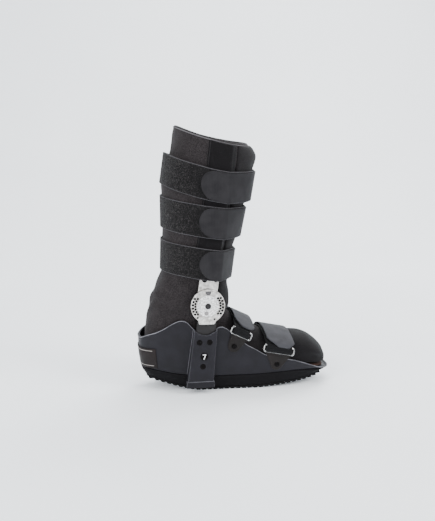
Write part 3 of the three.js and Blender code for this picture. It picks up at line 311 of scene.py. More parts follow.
def facing_out(points, faces):
    """The faces of a closed skin, turned round if a sample of them says that its volume is negative."""
    volume = 0.0
    for face in faces[:: max(1, len(faces) // 4000)]:
        a = points[face[0]]
        for b, c in zip(face[1:-1], face[2:]):
            volume += np.dot(a, np.cross(points[b], points[c]))
    return [face[::-1] for face in faces] if volume < 0 else faces


def grid_object(name, grid, wrap_rows=False, caps=True, smooth=True):
    """A closed skin over rows of closed loops. Open ends are closed by a fan round a middle."""
    grid = np.asarray(grid, float)
    rows, columns = grid.shape[:2]
    points = grid.reshape(-1, 3)
    faces = grid_faces(rows, columns, wrap_rows)
    if caps and not wrap_rows:
        for row, flip in ((0, True), (rows - 1, False)):
            middle = len(points)
            points = np.vstack([points, grid[row].mean(0)])
            for j in range(columns):
                a, b = row * columns + j, row * columns + (j + 1) % columns
                faces.append((middle, b, a) if flip else (middle, a, b))
    return mesh_object(name, points, facing_out(points, faces), smooth)


def corners_of(half, height, radius):
    """The middles of a rounded rectangle's corners, and the angle in degrees where each starts."""
    side, top = half - radius, height - radius
    return [(side, radius, -90), (side, top, 0), (-side, top, 90), (-side, radius, 180)]


def rounded_section(half_width, thickness, radius, across=12, corner=4):
    """The section of a strap as (sideways, off) points: its lower face is at off 0."""
    points = []
    centres = corners_of(half_width, thickness, radius)
    for k, (a, b, start) in enumerate(centres):
        for i in range(corner + 1):
            angle = radians(start + 90 * i / corner)
            points.append((a + radius * cos(angle), b + radius * sin(angle)))
        if k in (1, 3):
            n, d, _ = centres[(k + 1) % 4]
            level = thickness if k == 1 else 0
            for i in range(1, across):
                points.append((mix(a, n, i / across), level))
    return np.array(points)


def join(name, objects):
    """Several meshes as one object."""
    points, faces, smooth = [], [], []
    for obj in objects:
        start = len(points)
        points += [tuple(v.co) for v in obj.data.vertices]
        faces += [tuple(start + i for i in p.vertices) for p in obj.data.polygons]
        smooth += [p.use_smooth for p in obj.data.polygons]
        bpy.data.objects.remove(obj)
    mesh = bpy.data.meshes.new(name)
    mesh.from_pydata(points, [], faces)
    mesh.polygons.foreach_set("use_smooth", smooth)
    return linked(name, mesh)


def points_of(obj):
    co = np.zeros(len(obj.data.vertices) * 3)
    obj.data.vertices.foreach_get("co", co)
    return co.reshape(-1, 3) / MM


def soft_noise(p, scale, seed=0.0):
    q = Vector((p[0] / scale + seed, p[1] / scale - seed, p[2] / scale + 2 * seed))
    return noise.noise(q)


def loop_normals(grid):
    """Outward directions of a grid of points, rows by columns, with closed columns."""
    du = np.gradient(grid, axis=0)
    dv = np.roll(grid, -1, axis=1) - np.roll(grid, 1, axis=1)
    return unit(np.cross(du, dv))


def paint(obj, material):
    obj.data.materials.clear()
    obj.data.materials.append(material)


def finish_piece(obj, nodes, material):
    if nodes:
        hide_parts(*nodes)
    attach(obj, "root")
    paint(obj, material)
    return obj


# Finishes


def srgb(level):
    c = level / 255
    return c / 12.92 if c <= 0.04045 else ((c + 0.055) / 1.055) ** 2.4


def tone(r, g, b):
    return (srgb(r), srgb(g), srgb(b), 1.0)


class Shader:
    """A procedural material in the making: a few nodes with short names."""

    def __init__(self, name):
        self.material = bpy.data.materials.new(name)
        self.material.use_nodes = True
        self.tree = self.material.node_tree
        self.tree.nodes.clear()
        self.out = self.tree.nodes.new("ShaderNodeOutputMaterial")
        self.surface = self.tree.nodes.new("ShaderNodeBsdfPrincipled")
        self.tree.links.new(self.surface.outputs[0], self.out.inputs[0])
        self.place = self.add("TexCoord").outputs["Object"]

    def plug(self, socket, value):
        if isinstance(value, bpy.types.NodeSocket):
            self.tree.links.new(value, socket)
        else:
            socket.default_value = value

    def add(self, kind, inputs=None, **settings):
        node = self.tree.nodes.new("ShaderNode" + kind)
        for key, value in settings.items():
            setattr(node, key, value)
        for key, value in (inputs or {}).items():
            self.plug(node.inputs[key], value)
        return node

    def set(self, **inputs):
        for key, value in inputs.items():
            self.plug(self.surface.inputs[key.replace("_", " ")], value)

    def scaled(self, x, y=None, z=None):
        """The place in millimetres divided by sizes in millimetres along each axis."""
        y, z = (x if y is None else y), (x if z is None else z)
        size = (1 / (x * MM), 1 / (y * MM), 1 / (z * MM))
        return self.add("Mapping", {"Vector": self.place, "Scale": size}).outputs[0]

    def noise(self, size, detail=2.0, rough=0.5, stretch=None):
        place = self.scaled(*(stretch or (size, size, size)))
        node = self.add("TexNoise", {"Vector": place, "Scale": 1.0, "Detail": detail, "Roughness": rough})
        return node.outputs["Fac"]

    def ramp(self, value, low, high, a=0.0, b=1.0):
        ends = {"Value": value, "From Min": low, "From Max": high, "To Min": a, "To Max": b}
        return self.add("MapRange", ends).outputs[0]

    def blend(self, share, a, b):
        """A colour between two, each a socket or its red, green and blue levels up to 255."""
        a, b = (tone(*color) if isinstance(color, tuple) else color for color in (a, b))
        return self.add("Mix", {0: share, 6: a, 7: b}, data_type="RGBA").outputs[2]

    def axis(self, name):
        return self.add("SeparateXYZ", {"Vector": self.place}).outputs[name]

    def wave(self, scale, distortion, direction):
        inputs = {"Vector": self.scaled(1.0), "Scale": scale, "Distortion": distortion}
        return self.add("TexWave", inputs, wave_type="BANDS", bands_direction=direction).outputs["Fac"]

    def math(self, kind, a, b=0.0):
        return self.add("Math", {0: a, 1: b}, operation=kind).outputs[0]

    def times(self, a, b):
        return self.math("MULTIPLY", a, b)

    def bump(self, height, distance, strength=1.0, under=None):
        inputs = {"Height": height, "Distance": distance * MM, "Strength": strength}
        if under is not None:
            inputs["Normal"] = under
        return self.add("Bump", inputs).outputs[0]

    def soft(self, sheen, sheen_roughness, gloss):
        """The material, with the sheen and the low gloss of cloth."""
        self.set(Sheen_Weight=sheen, Sheen_Roughness=sheen_roughness, Specular_IOR_Level=gloss)
        return self.material


def cloth(name, dark, light, knit=0.9, depth=0.16, toe=None):
    """Knit or brushed cloth: fine loops, soft blotches of colour and a little sheen."""
    s = Shader(name)
    wide = s.ramp(s.noise(14, 3), 0.3, 0.7)
    fine = s.ramp(s.noise(knit, 1), 0.32, 0.68)
    share = s.math("ADD", s.times(wide, 0.2), s.times(fine, 0.8))
    color = s.blend(share, dark, light)
    if toe is not None:
        color = s.blend(s.ramp(s.axis("X"), 0.0, 0.05, 0.0, 0.85), color, toe)
    s.set(Base_Color=color, Roughness=0.95)
    rows = s.wave(0.42 / knit, 1.2, "Z")
    first = s.bump(rows, depth * 0.5, 0.5)
    second = s.bump(fine, depth, 0.7, first)
    s.set(Normal=s.bump(wide, 0.3, 0.25, second))
    return s.soft(0.05, 0.5, 0.14)


def pile_cloth(name, dark, light):
    """Loop pile: a black ground with small grey loops here and there that catch the light."""
    s = Shader(name)
    cells = s.add("TexVoronoi", {"Vector": s.scaled(0.9), "Scale": 1.0, "Randomness": 1.0})
    chance = s.add("SeparateColor", {"Color": cells.outputs["Color"]}).outputs[0]
    fine = s.noise(0.9, 2, 0.6)
    patch = s.ramp(s.noise(9, 2), 0.3, 0.7, 0.5, 1.0)
    loops = s.times(s.ramp(chance, 0.6, 1.0), s.ramp(fine, 0.3, 0.6, 0.35, 1.0))
    # The pile lies flatter towards the tabs, and shows fewer loops there
    loops = s.times(loops, s.ramp(s.axis("X"), -0.094, -0.066, 1.0, 0.4))
    s.set(Base_Color=s.blend(s.times(loops, patch), dark, light), Roughness=1.0)
    first = s.bump(cells.outputs["Distance"], 0.5, 0.8)
    s.set(Normal=s.bump(fine, 0.5, 0.9, first))
    return s.soft(0.05, 0.6, 0.2)


def hook_cloth(name, dark, light, pitch=2.4):
    """Smooth hook tape: faint ribs across it and a fine even grain."""
    s = Shader(name)
    ribs = s.wave(0.32 / pitch, 0.6, "X")
    grain = s.noise(0.8, 2)
    wide = s.ramp(s.noise(18, 2), 0.35, 0.65)
    share = s.math("ADD", s.times(wide, 0.55), s.times(ribs, 0.25))
    s.set(Base_Color=s.blend(share, dark, light), Roughness=0.75)
    first = s.bump(ribs, 0.16, 0.5)
    s.set(Normal=s.bump(grain, 0.12, 0.6, first))
    return s.soft(0.03, 0.4, 0.12)


def moulded(name, dark, light, rough=0.5, grain=0.35, depth=0.03, edge=None, gloss=0.18):
    """Moulded plastic or rubber: fine grain, soft blotches, scuffs, and, when an edge colour is given,
    paler upward-facing edges, which are a painted highlight.
    """
    s = Shader(name)
    wide = s.ramp(s.noise(30, 4, 0.6), 0.35, 0.65)
    fine = s.noise(grain, 2)
    scuff = s.ramp(s.noise(6, 6, 0.7, stretch=(14, 6, 2.5)), 0.62, 0.75)
    color = s.blend(wide, dark, light)
    if edge is not None:
        # Painted highlight: edges found from the bevel's normal, only where they face up, are blended
        # towards the pale edge colour
        true = s.add("NewGeometry").outputs["Normal"]
        soft = s.add("Bevel", {"Radius": 2.2 * MM}, samples=6).outputs[0]
        turned = s.add("VectorMath", {0: true, 1: soft}, operation="DOT_PRODUCT").outputs["Value"]
        facing = s.add("SeparateXYZ", {"Vector": soft}).outputs["Z"]
        edge_highlight = s.times(s.ramp(turned, 0.985, 0.86), s.ramp(wide, 0, 1, 0.5, 0.9))
        edge_highlight = s.times(edge_highlight, s.ramp(facing, -0.15, 0.0))
        color = s.blend(edge_highlight, color, edge)
    s.set(Base_Color=color)
    level = s.math("ADD", s.ramp(wide, 0, 1, rough - 0.05, rough + 0.06), s.ramp(scuff, 0, 1, 0.0, 0.08))
    s.set(Roughness=level, Normal=s.bump(fine, depth, 0.6), Specular_IOR_Level=gloss)
    return s.material


def metal(name, dark, light, rough=0.3, brushed=None, metallic=1.0, blotch=10):
    """Metal with a faint grain, soft stains and a varying polish."""
    s = Shader(name)
    wide = s.ramp(s.noise(blotch, 4, 0.6), 0.35, 0.65)
    grain = s.noise(0.5, 3, 0.6, stretch=brushed or (0.5, 0.5, 0.5))
    s.set(
        Base_Color=s.blend(wide, dark, light),
        Metallic=metallic,
        Roughness=s.ramp(grain, 0.3, 0.7, rough - 0.07, rough + 0.09),
        Normal=s.bump(grain, 0.012, 0.5),
    )
    return s.material


liner_cloth = cloth("liner_cloth", (19, 17, 18), (48, 44, 45), knit=1.4, toe=(11, 10, 12))
flap_cloth = cloth("flap_cloth", (18, 17, 18), (34, 32, 33), knit=1.3)
pocket_cloth = cloth("pocket_cloth", (7, 6, 7), (17, 15, 17), knit=1.3)
seam_thread = cloth("seam_thread", (70, 68, 70), (98, 96, 98), knit=0.5, depth=0.1)
pocket_thread = cloth("pocket_thread", (32, 31, 32), (50, 48, 50), knit=0.5, depth=0.1)
band_pile = pile_cloth("band_pile", (4, 3, 4), (68, 65, 65))
band_edge = cloth("band_edge", (44, 43, 45), (78, 77, 80), knit=0.5, depth=0.1)
tab_cloth = hook_cloth("tab_cloth", (28, 27, 29), (40, 39, 41))
foot_tab_cloth = hook_cloth("foot_tab_cloth", (50, 50, 53), (66, 66, 70), pitch=1.2)
webbing = cloth("webbing", (8, 8, 9), (18, 18, 20), knit=1.1, depth=0.25)
# The shell's pale edge colour is a painted highlight along its upward-facing edges
shell_plastic = moulded("shell_plastic", (21, 20, 24), (28, 27, 32), 0.5, edge=(108, 108, 114), gloss=0.155)
# A painted highlight for the shell's rim
rim_highlight_paint = moulded("rim_highlight_paint", (60, 60, 64), (124, 124, 130), 0.45, gloss=0.3)
sole_rubber = moulded("sole_rubber", (10, 9, 11), (16, 15, 17), 0.75, grain=0.5, gloss=0.1)
tread_rubber = moulded("tread_rubber", (6, 6, 7), (13, 12, 14), 0.85, grain=0.6, depth=0.06)
insole_foam = moulded("insole_foam", (48, 34, 29), (70, 51, 44), 0.9, grain=0.7, depth=0.15)
chape_leather = moulded("chape_leather", (19, 16, 15), (29, 25, 24), 0.62, grain=0.6, depth=0.06)
label_patch = moulded("label_patch", (17, 13, 13), (27, 21, 21), 0.6, grain=0.4)
label_lines = moulded("label_lines", (120, 116, 112), (150, 146, 142), 0.5)
ring_steel = metal("ring_steel", (118, 118, 118), (178, 178, 177), 0.2)
aluminium = metal("aluminium", (150, 145, 140), (228, 225, 220), 0.34, brushed=(0.4, 0.4, 6), blotch=6)
dial_metal = metal("dial_metal", (160, 159, 156), (255, 255, 255), 0.55, metallic=0.0, blotch=2.6)
mark_grey = moulded("mark_grey", (120, 118, 118), (150, 148, 148), 0.6)
# Painted shade for the cover disc's holes
hole_shade = moulded("hole_shade", (14, 13, 14), (24, 22, 23), 0.8)
window_grey = moulded("window_grey", (64, 62, 64), (96, 94, 96), 0.5)
black_steel = moulded("black_steel", (17, 15, 16), (25, 23, 24), 0.5, gloss=0.3)
rivet_black = moulded("rivet_black", (4, 3, 3), (9, 7, 7), 0.7, gloss=0.08)
plug_mark = moulded("plug_mark", (205, 205, 205), (225, 225, 225), 0.5)


# The liner


LEG_STRAPS = [
    # name, height share, tilt, sag, where the tab's round end lies
    ("top", 0.7153, 11.4, 0.04, -0.0625),
    ("middle", 0.488, 7.5, 0.01, -0.0825),
    ("lower", 0.243, 7.8, 0, -0.084),
]
FOOT_STRAPS = {
    # middle of the ring's bar along and up, slope, ring and tab widths, chape's rivet aside
    "instep": dict(x=-0.0015, up=0.774, slope=26, ring=35, tab=35, aside=-0.7, start=13, cut=19),
    "forefoot": dict(x=0.198, up=0.514, slope=11.5, ring=50, tab=46, aside=1.9, start=9, cut=13),
}
STRAP_SLANT = -0.25
FLAP_FROM, FLAP_TO = radians(-45), radians(75)
ROUND = 144
ANGLES = turns_of(ROUND)
# The liner's top edge: the radius of its roll, how far it droops, and its steps
RIM_ROLL, RIM_DROP, RIM_STEPS = LINER_WALL / 2, 3, 9
# The cloth simulation that pads the liner: most movement in millimetres, pressure, frames
SWELL_CAP, SWELL_PRESSURE, SWELL_FRAMES = 3.5, 4, 20
# Folds at the ankle: the height of their middle, how far they reach from it, and their depth
FOLD_HEIGHT, FOLD_REACH, FOLD_DEPTH = 158, 34, 1.5


def mid_leg_at(z):
    up = np.clip((z - HINGE_HEIGHT) / LEG_RISE, -0.007, 1)
    return HINGE_X + CALF_DEPTH * float(LEG("back", up) + LEG("front", up)) / 2


def lowered(at):
    return RIM_DROP * (1 - smoothstep(at, 0, 0.6))


def liner_grid():
    places = np.linspace(LAST_SECTION, 0, 190)
    outer = np.array([liner_loop(at, 0, ANGLES) for at in places])
    outer[:, :, 2] -= lowered(places)[:, None]
    return places, outer


liner_places, liner_outer = liner_grid()


def swell(grid, free):
    """How far the free places of a closed skin move when it is blown up as cloth."""
    obj = grid_object("swelling", grid)
    before = points_of(obj)
    held = np.ones(len(before))
    held[: free.size] = ~free.ravel()
    group = obj.vertex_groups.new(name="held")
    group.add(np.flatnonzero(held).tolist(), 1.0, "REPLACE")
    modifier = obj.modifiers.new("cloth", "CLOTH")
    modifier.settings.use_pressure = True
    modifier.settings.uniform_pressure_force = SWELL_PRESSURE
    modifier.settings.vertex_group_mass = "held"
    modifier.settings.effector_weights.gravity = 0
    modifier.collision_settings.use_collision = False
    for k in range(SWELL_FRAMES):
        bpy.context.scene.frame_set(k + 1)
    mesh = obj.evaluated_get(bpy.context.evaluated_depsgraph_get()).to_mesh()
    after = np.array([v.co for v in mesh.vertices]) / MM
    bpy.context.scene.frame_set(1)
    bpy.data.objects.remove(obj)
    moved = (after - before)[: free.size].reshape(grid.shape)
    far = np.linalg.norm(moved, axis=2, keepdims=True)
    return moved * (SWELL_CAP * np.tanh(far / SWELL_CAP) / np.maximum(far, 1e-6))


def upsampled(field, rows, columns):
    """A coarse field over rows and closed columns, drawn out to a finer one."""
    a = np.linspace(0, field.shape[0] - 1, rows)
    b = np.arange(columns) * field.shape[1] / columns
    i, j = np.minimum(a.astype(int), field.shape[0] - 2), b.astype(int)
    s, t = (a - i)[:, None, None], (b - j)[None, :, None]
    k = (j + 1) % field.shape[1]
    low = field[i][:, j] * (1 - t) + field[i][:, k] * t
    high = field[i + 1][:, j] * (1 - t) + field[i + 1][:, k] * t
    return low * (1 - s) + high * s


def strap_level(strap, p):
    """A place's height along the leg, measured square to a leg strap, from the strap's middle."""
    _, up, tilt, sag, _ = strap
    height = HINGE_HEIGHT + up * LEG_RISE
    lean = tan(radians(tilt)) * (p[..., 0] - mid_leg_at(height))
    return p[..., 2] + lean + sag * CALF_DEPTH / CALF_HALF**2 * p[..., 1] ** 2 - height


def pocket_line_at(z):
    """Where along the boot the middle of a pocket is, at a height."""
    return HINGE_X - POCKET_SETBACK + (z - HINGE_HEIGHT) * tan(radians(POCKET_LEAN))


def free_of_straps(p, turns):
    """Where the liner may swell: between the bands, clear of the shell, bars, flap and foot straps."""
    free = p[..., 2] > rim_at(p[..., 0]) + 9
    for strap in LEG_STRAPS:
        free &= np.abs(strap_level(strap, p)) > BAND_WIDTH / 2 + 1
    on_side = np.abs(np.sin(turns)) > 0.6
    free &= ~(on_side & (np.abs(p[..., 0] - pocket_line_at(p[..., 2])) < POCKET_WIDTH / 2 + 6))
    flap_side = (turns < FLAP_TO + 0.1) | (turns > 2 * pi + FLAP_FROM - 0.1)
    free &= ~(flap_side & (p[..., 2] > HINGE_HEIGHT + 62))
    for strap in FOOT_STRAPS.values():
        slope = radians(strap["slope"])
        dx = p[..., 0] - strap["x"] * SHELL_LENGTH
        dz = p[..., 2] - strap["up"] * RIM_HEIGHT
        across = dx * cos(slope) - dz * sin(slope)
        up = dx * sin(slope) + dz * cos(slope)
        across = across - STRAP_SLANT * np.maximum(0, up - 11)
        free &= ~((np.abs(across) < strap["tab"] / 2 + 5) & (up > -4) & (p[..., 2] < HINGE_HEIGHT + 40))
    return free


def liner_relief(places, grid):
    """How far the outer skin stands out or in: soft folds at the ankle and a padded unevenness."""
    relief = np.zeros(grid.shape[:2])
    for i, at in enumerate(places):
        for j in range(grid.shape[1]):
            x, y, z = grid[i, j]
            place = (x, y, z)
            soft = 0.9 * soft_noise(place, 38) + 0.45 * soft_noise(place, 14, 5)
            # Folds where the ankle bends: they run round the leg and fade away upwards
            fold = FOLD_DEPTH * exp(-(((z - FOLD_HEIGHT) / FOLD_REACH) ** 2))
            wave = sin(z / 5.2 + 4.8 * soft_noise(place, 30, 9) + x / 40)
            relief[i, j] = soft + fold * wave * (0.35 + 0.65 * abs(cos(ANGLES[j])))
    return relief


def make_liner():
    relief = liner_relief(liner_places, liner_outer)
    rim = rim_at(liner_outer[:, :, 0])
    fade = smoothstep(liner_outer[:, :, 2], rim - 6, rim + 8)
    fade = np.maximum(fade, smoothstep(liner_places, 19, 21)[:, None])
    normals = loop_normals(liner_outer)
    centre = liner_outer.mean(1, keepdims=True)
    if np.sum(normals * (liner_outer - centre)) < 0:
        normals = -normals
    outer = liner_outer + normals * (relief * fade * smoothstep(liner_places, 0, 0.8)[:, None])[:, :, None]
    rows = list(outer)
    for k in range(1, RIM_STEPS):
        turn = pi * k / RIM_STEPS
        loop = liner_loop(0, RIM_ROLL * (1 - cos(turn)), ANGLES)
        loop[:, 2] += RIM_ROLL * sin(turn) - RIM_DROP
        rows.append(loop)
    for at in np.linspace(0, LAST_SECTION - 2.4, 70):
        loop = liner_loop(at, LINER_WALL, ANGLES)
        loop[:, 2] -= float(lowered(at))
        rows.append(loop)
    coarse = np.array(rows)[:, ::2]
    turns = np.broadcast_to(ANGLES[::2], coarse.shape[:2])
    free = free_of_straps(coarse, turns)
    free[len(outer) - 4 :] = False
    free[:6] = False
    moved = upsampled(swell(coarse, free)[: len(outer)], len(outer), ROUND)
    outer = outer + moved
    return grid_object("liner_body", [*outer, *rows[len(outer) :]]), outer


liner, liner_skin = make_liner()
finish_piece(liner, ["liner"], liner_cloth)


# The front flap: a padded wing over the shin


FLAP_THICKNESS = 5
# How far down the liner's sections the flap reaches
FLAP_SHARE = 11 / 24


def make_flap():
    places = np.linspace(0, LAST_SECTION * FLAP_SHARE, 80)
    rows = []
    for k, at in enumerate(places):
        tries = np.linspace(radians(40), FLAP_TO, 60)
        loop = liner_loop(at, 0, tries)
        clear = np.flatnonzero(loop[:, 0] > pocket_line_at(loop[:, 2]) + POCKET_WIDTH / 2 + 1)
        turns = np.linspace(FLAP_FROM, tries[clear[-1]] if len(clear) else tries[0], 60)
        end = min(k, len(places) - 1 - k) / 6
        lengthwise = sqrt(max(0.0, 1 - (1 - min(1, end)) ** 2))
        inner = liner_loop(at, -2 * FIT_GAP, turns)
        inner[:, 2] -= float(lowered(at))
        outer = []
        for j in range(len(turns)):
            edge = min(1, min(j, len(turns) - 1 - j) / 5)
            thick = FLAP_THICKNESS * sqrt(max(0, 1 - (1 - edge) ** 2)) * max(0.12, lengthwise)
            thick *= mix(0.45, 1, float(smoothstep(len(turns) - 1 - j, 0, 26)))
            loop = liner_loop(at, -2 * FIT_GAP - thick - 0.05, turns[j : j + 1])[0]
            loop[2] -= float(lowered(at))
            loop += 0.5 * soft_noise(loop, 22, 3) * edge
            outer.append(loop)
        curl = 3.2 * (1 - float(smoothstep(at, 0, 0.55)))
        ring = np.vstack([outer, inner[::-1]])
        ring[:, 0] += curl * np.concatenate([np.cos(turns), np.cos(turns[::-1])])
        rows.append(ring)
    return grid_object("front_flap", rows)


flap = finish_piece(make_flap(), ["liner_front_flap"], flap_cloth)


# Side bars stay as in the solids, and the pockets are cloth laid over them


def tree_of(objects):
    points, faces = [], []
    for obj in objects:
        start = len(points)
        points += [Vector(p) for p in points_of(obj)]
        faces += [tuple(start + i for i in p.vertices) for p in obj.data.polygons]
    return BVHTree.FromPolygons(points, faces)


def side_reach(x, z):
    """How far out the liner and the side bar reach on the outer side."""
    place = under_pocket.ray_cast(Vector((x, -300, z)), Vector((0, 1, 0)))[0]
    return 50 if place is None else -place.y


def blurred(field, steps, axis):
    for _ in range(steps):
        low = np.take(field, [0, *range(field.shape[axis] - 1)], axis)
        high = np.take(field, [*range(1, field.shape[axis]), field.shape[axis] - 1], axis)
        field = 0.25 * low + 0.5 * field + 0.25 * high
    return field


under_pocket = tree_of([liner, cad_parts["side_bar_outer"]])
POCKET_FROM = 200


def mirrored(obj, name):
    mesh = obj.data.copy()
    for v in mesh.vertices:
        v.co.y = -v.co.y
    mesh.flip_normals()
    return linked(name, mesh)


RIM_LINE = liner_skin[-1]


def rim_height_at(x):
    """The height of the liner's top edge on the outer side."""
    side = RIM_LINE[RIM_LINE[:, 1] < -5]
    side = side[np.argsort(side[:, 0])]
    return np.interp(x, side[:, 0], side[:, 2])


def make_pocket():
    """A cloth panel over the side bar, up to the liner's rim, and the thread along its edges."""
    columns = 44
    heights = np.linspace(0, 1, 110)
    aside = np.linspace(-0.5, 0.5, columns) * POCKET_WIDTH
    from_edge = np.minimum(np.arange(columns), columns - 1 - np.arange(columns))
    top = rim_height_at(pocket_line_at(400) + aside) - 0.5
    z = POCKET_FROM + heights[:, None] * (top - POCKET_FROM)[None, :]
    x = pocket_line_at(z) + aside[None, :]
    highest = np.broadcast_to(top - 5, z.shape)
    field = [[side_reach(a, min(b, c)) for a, b, c in zip(*row)] for row in zip(x, z, highest)]
    dome = field = np.array(field)
    for axis in (1, 0) * 5:
        dome = np.maximum(dome, np.maximum(np.roll(dome, 1, axis), np.roll(dome, -1, axis)))
    dome = blurred(blurred(dome, 16, 1), 16, 0)
    inward = smoothstep(from_edge, 0, 9)
    lift = np.maximum(mix(blurred(field, 2, 1), dome, inward), field) + 0.6
    lift = blurred(blurred(lift, 2, 0), 2, 1)
    tuck = smoothstep(heights, 0.93, 1.0)[:, None] * 1.2
    cover = 0.3 + 1.2 * np.sqrt(1 - (1 - np.minimum(1, from_edge / 3)) ** 2)
    outer = np.stack([x, -(lift + cover - tuck), z], 2)
    inner = np.stack([x, -(lift - 0.4 - tuck), z], 2)
    panel = grid_object("bar_pocket_cloth_outer", np.concatenate([outer, inner[:, ::-1]], 1))
    seams = [stitch_line(outer[:, column] - [0, 0.1, 0], 0.36) for column in (2, columns - 3)]
    across = distances_along(outer[60])[-1]
    along = distances_along(outer[:, columns // 2])[-1]
    return panel, join("pocket_seams_outer", seams), (float(across) * MM, float(along) * MM)


def stitch_line(points, radius, sides=8):
    """A fine thread along a line of points."""
    along = unit(np.gradient(points, axis=0))
    side = unit(np.cross(along, [0, 1, 0.1]))[:, None]
    up = np.cross(along[:, None], side)
    ring = [cos(turn) * side + sin(turn) * up for turn in turns_of(sides)]
    return grid_object("thread", points[:, None] + radius * np.concatenate(ring, 1))


pocket_outer, pocket_seams, pocket_flat = make_pocket()
pocket_inner = mirrored(pocket_outer, "bar_pocket_cloth_inner")
seams_inner = mirrored(pocket_seams, "pocket_seams_inner")
finish_piece(pocket_outer, ["bar_pocket_outer"], pocket_cloth)
finish_piece(pocket_inner, ["bar_pocket_inner"], pocket_cloth)
finish_piece(pocket_seams, (), pocket_thread)
finish_piece(seams_inner, (), pocket_thread)


def edge_thread(name, loop, shift, wide, tall):
    """A thin closed thread along a closed edge, moved out by a shift."""
    along = np.roll(loop, -1, 0) - np.roll(loop, 1, 0)
    out = np.pad(unit(beside(along)), ((0, 0), (0, 1)))
    out *= np.sign(np.sum(out * (loop - loop.mean(0))))
    turns = turns_of(8)
    sideways = shift + wide * np.cos(turns)
    rows = loop[:, None] + out[:, None] * sideways[:, None]
    rows[..., 2] += tall * np.sin(turns)
    return grid_object(name, rows, wrap_rows=True)


# The overlocked edge of the liner: a thin pale thread round the outside of its rim
binding = edge_thread("liner_binding", RIM_LINE + [0, 0, 0.6], 0.3, 0.5, 0.9)
finish_piece(binding, (), seam_thread)


# Leg bands and hook tabs: taut belts round what they lie on


def taut_curve(points, count):
    """A closed taut line round points in a plane, with evenly spaced places and outward directions."""
    ways = ways_at(turns_of(720))
    reach = (points @ ways.T).max(0)
    for _ in range(60):
        reach = 0.25 * np.roll(reach, 1) + 0.5 * reach + 0.25 * np.roll(reach, -1)
    slope = (np.roll(reach, -1) - np.roll(reach, 1)) / (2 * pi / 360)
    line = reach[:, None] * ways - slope[:, None] * beside(ways)
    closed = np.vstack([line, line[:1]])
    far = distances_along(closed)
    places = places_along(closed, far, np.linspace(0, far[-1], count, endpoint=False))
    along = np.roll(places, -1, 0) - np.roll(places, 1, 0)
    return places, unit(beside(along)), far[-1]


# The gap from a strap to what lies under it, the fluff's reach, and the binding cords' half sizes
STRAP_GAP, FLUFF = 0.5, 0.28
CORD_HALF_WIDTH, CORD_HALF_HEIGHT = 0.75, 1.1


class Belt:
    """A belt round the leg: points by column, sideways place in millimetres and distance off."""

    columns = 360

    def __init__(self, strap, targets):
        _, up, tilt, sag, _ = strap
        self.height = HINGE_HEIGHT + up * LEG_RISE
        self.slope = tan(radians(tilt))
        self.middle = mid_leg_at(self.height)
        self.sag = sag * CALF_DEPTH / CALF_HALF**2
        level = targets[:, 2] + self.slope * (targets[:, 0] - self.middle) + self.sag * targets[:, 1] ** 2
        flat = targets[:, :2] - [self.middle, 0]
        edges = []
        for way in (-1, 1):
            near = np.abs(level - self.height - way * BAND_WIDTH * 0.35) < BAND_WIDTH * 0.22
            edges.append(taut_curve(flat[near], self.columns))
        self.low, self.high = edges
        self.length = (self.low[2] + self.high[2]) / 2

    def points(self, column, sideways, off):
        column, sideways, off = np.broadcast_arrays(
            np.asarray(column, float), np.asarray(sideways, float), np.asarray(off, float)
        )
        i = np.floor(column).astype(int)
        part = (column - i)[..., None]
        a, b = i % self.columns, (i + 1) % self.columns
        share = (0.5 + sideways / BAND_WIDTH)[..., None]
        flat = 0
        for (places, out, _), weight in ((self.low, 1 - share), (self.high, share)):
            here = mix(places[a], places[b], part) + mix(out[a], out[b], part) * off[..., None]
            flat = flat + here * weight
        z = self.height + sideways - self.slope * flat[..., 0] - self.sag * flat[..., 1] ** 2
        return np.concatenate([flat + [self.middle, 0], z[..., None]], -1)


hard = [
    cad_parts[f"{node}_{side}"]
    for node in ("side_bar", "hinge_arm", "rivet_arm_rear", "rivet_arm_front")
    for side in ("outer", "inner")
]
under_bands = np.vstack([points_of(o) for o in (liner, flap, pocket_outer, pocket_inner, *hard)])


def make_band(strap, belt):
    name = strap[0]
    section = rounded_section(BAND_WIDTH / 2, BAND_THICKNESS, 1.1, across=26)
    columns = np.arange(Belt.columns)
    grid = belt.points(columns[:, None], section[None, :, 0], section[None, :, 1] + STRAP_GAP)
    out = ways_at(turns_of(Belt.columns))
    rng = np.random.default_rng(len(name) * 7)
    fluff = rng.uniform(-FLUFF, FLUFF, grid.shape[:2]) * (section[None, :, 1] > BAND_THICKNESS * 0.6)
    grid[..., :2] += out[:, None, :] * fluff[..., None]
    band = grid_object(f"pile_band_{name}", grid, wrap_rows=True)
    finish_piece(band, [f"leg_band_{name}"], band_pile)
    edges = []
    for way in (-1, 1):
        turns = turns_of(8)
        sideways = way * (BAND_WIDTH / 2 - 0.4) + CORD_HALF_WIDTH * np.cos(turns)[None, :]
        off = STRAP_GAP + BAND_THICKNESS * 0.62 + CORD_HALF_HEIGHT * np.sin(turns)[None, :]
        edges.append(grid_object("edge", belt.points(columns[:, None], sideways, off), wrap_rows=True))
    edge = join(f"band_binding_{name}", edges)
    finish_piece(edge, (), band_edge)


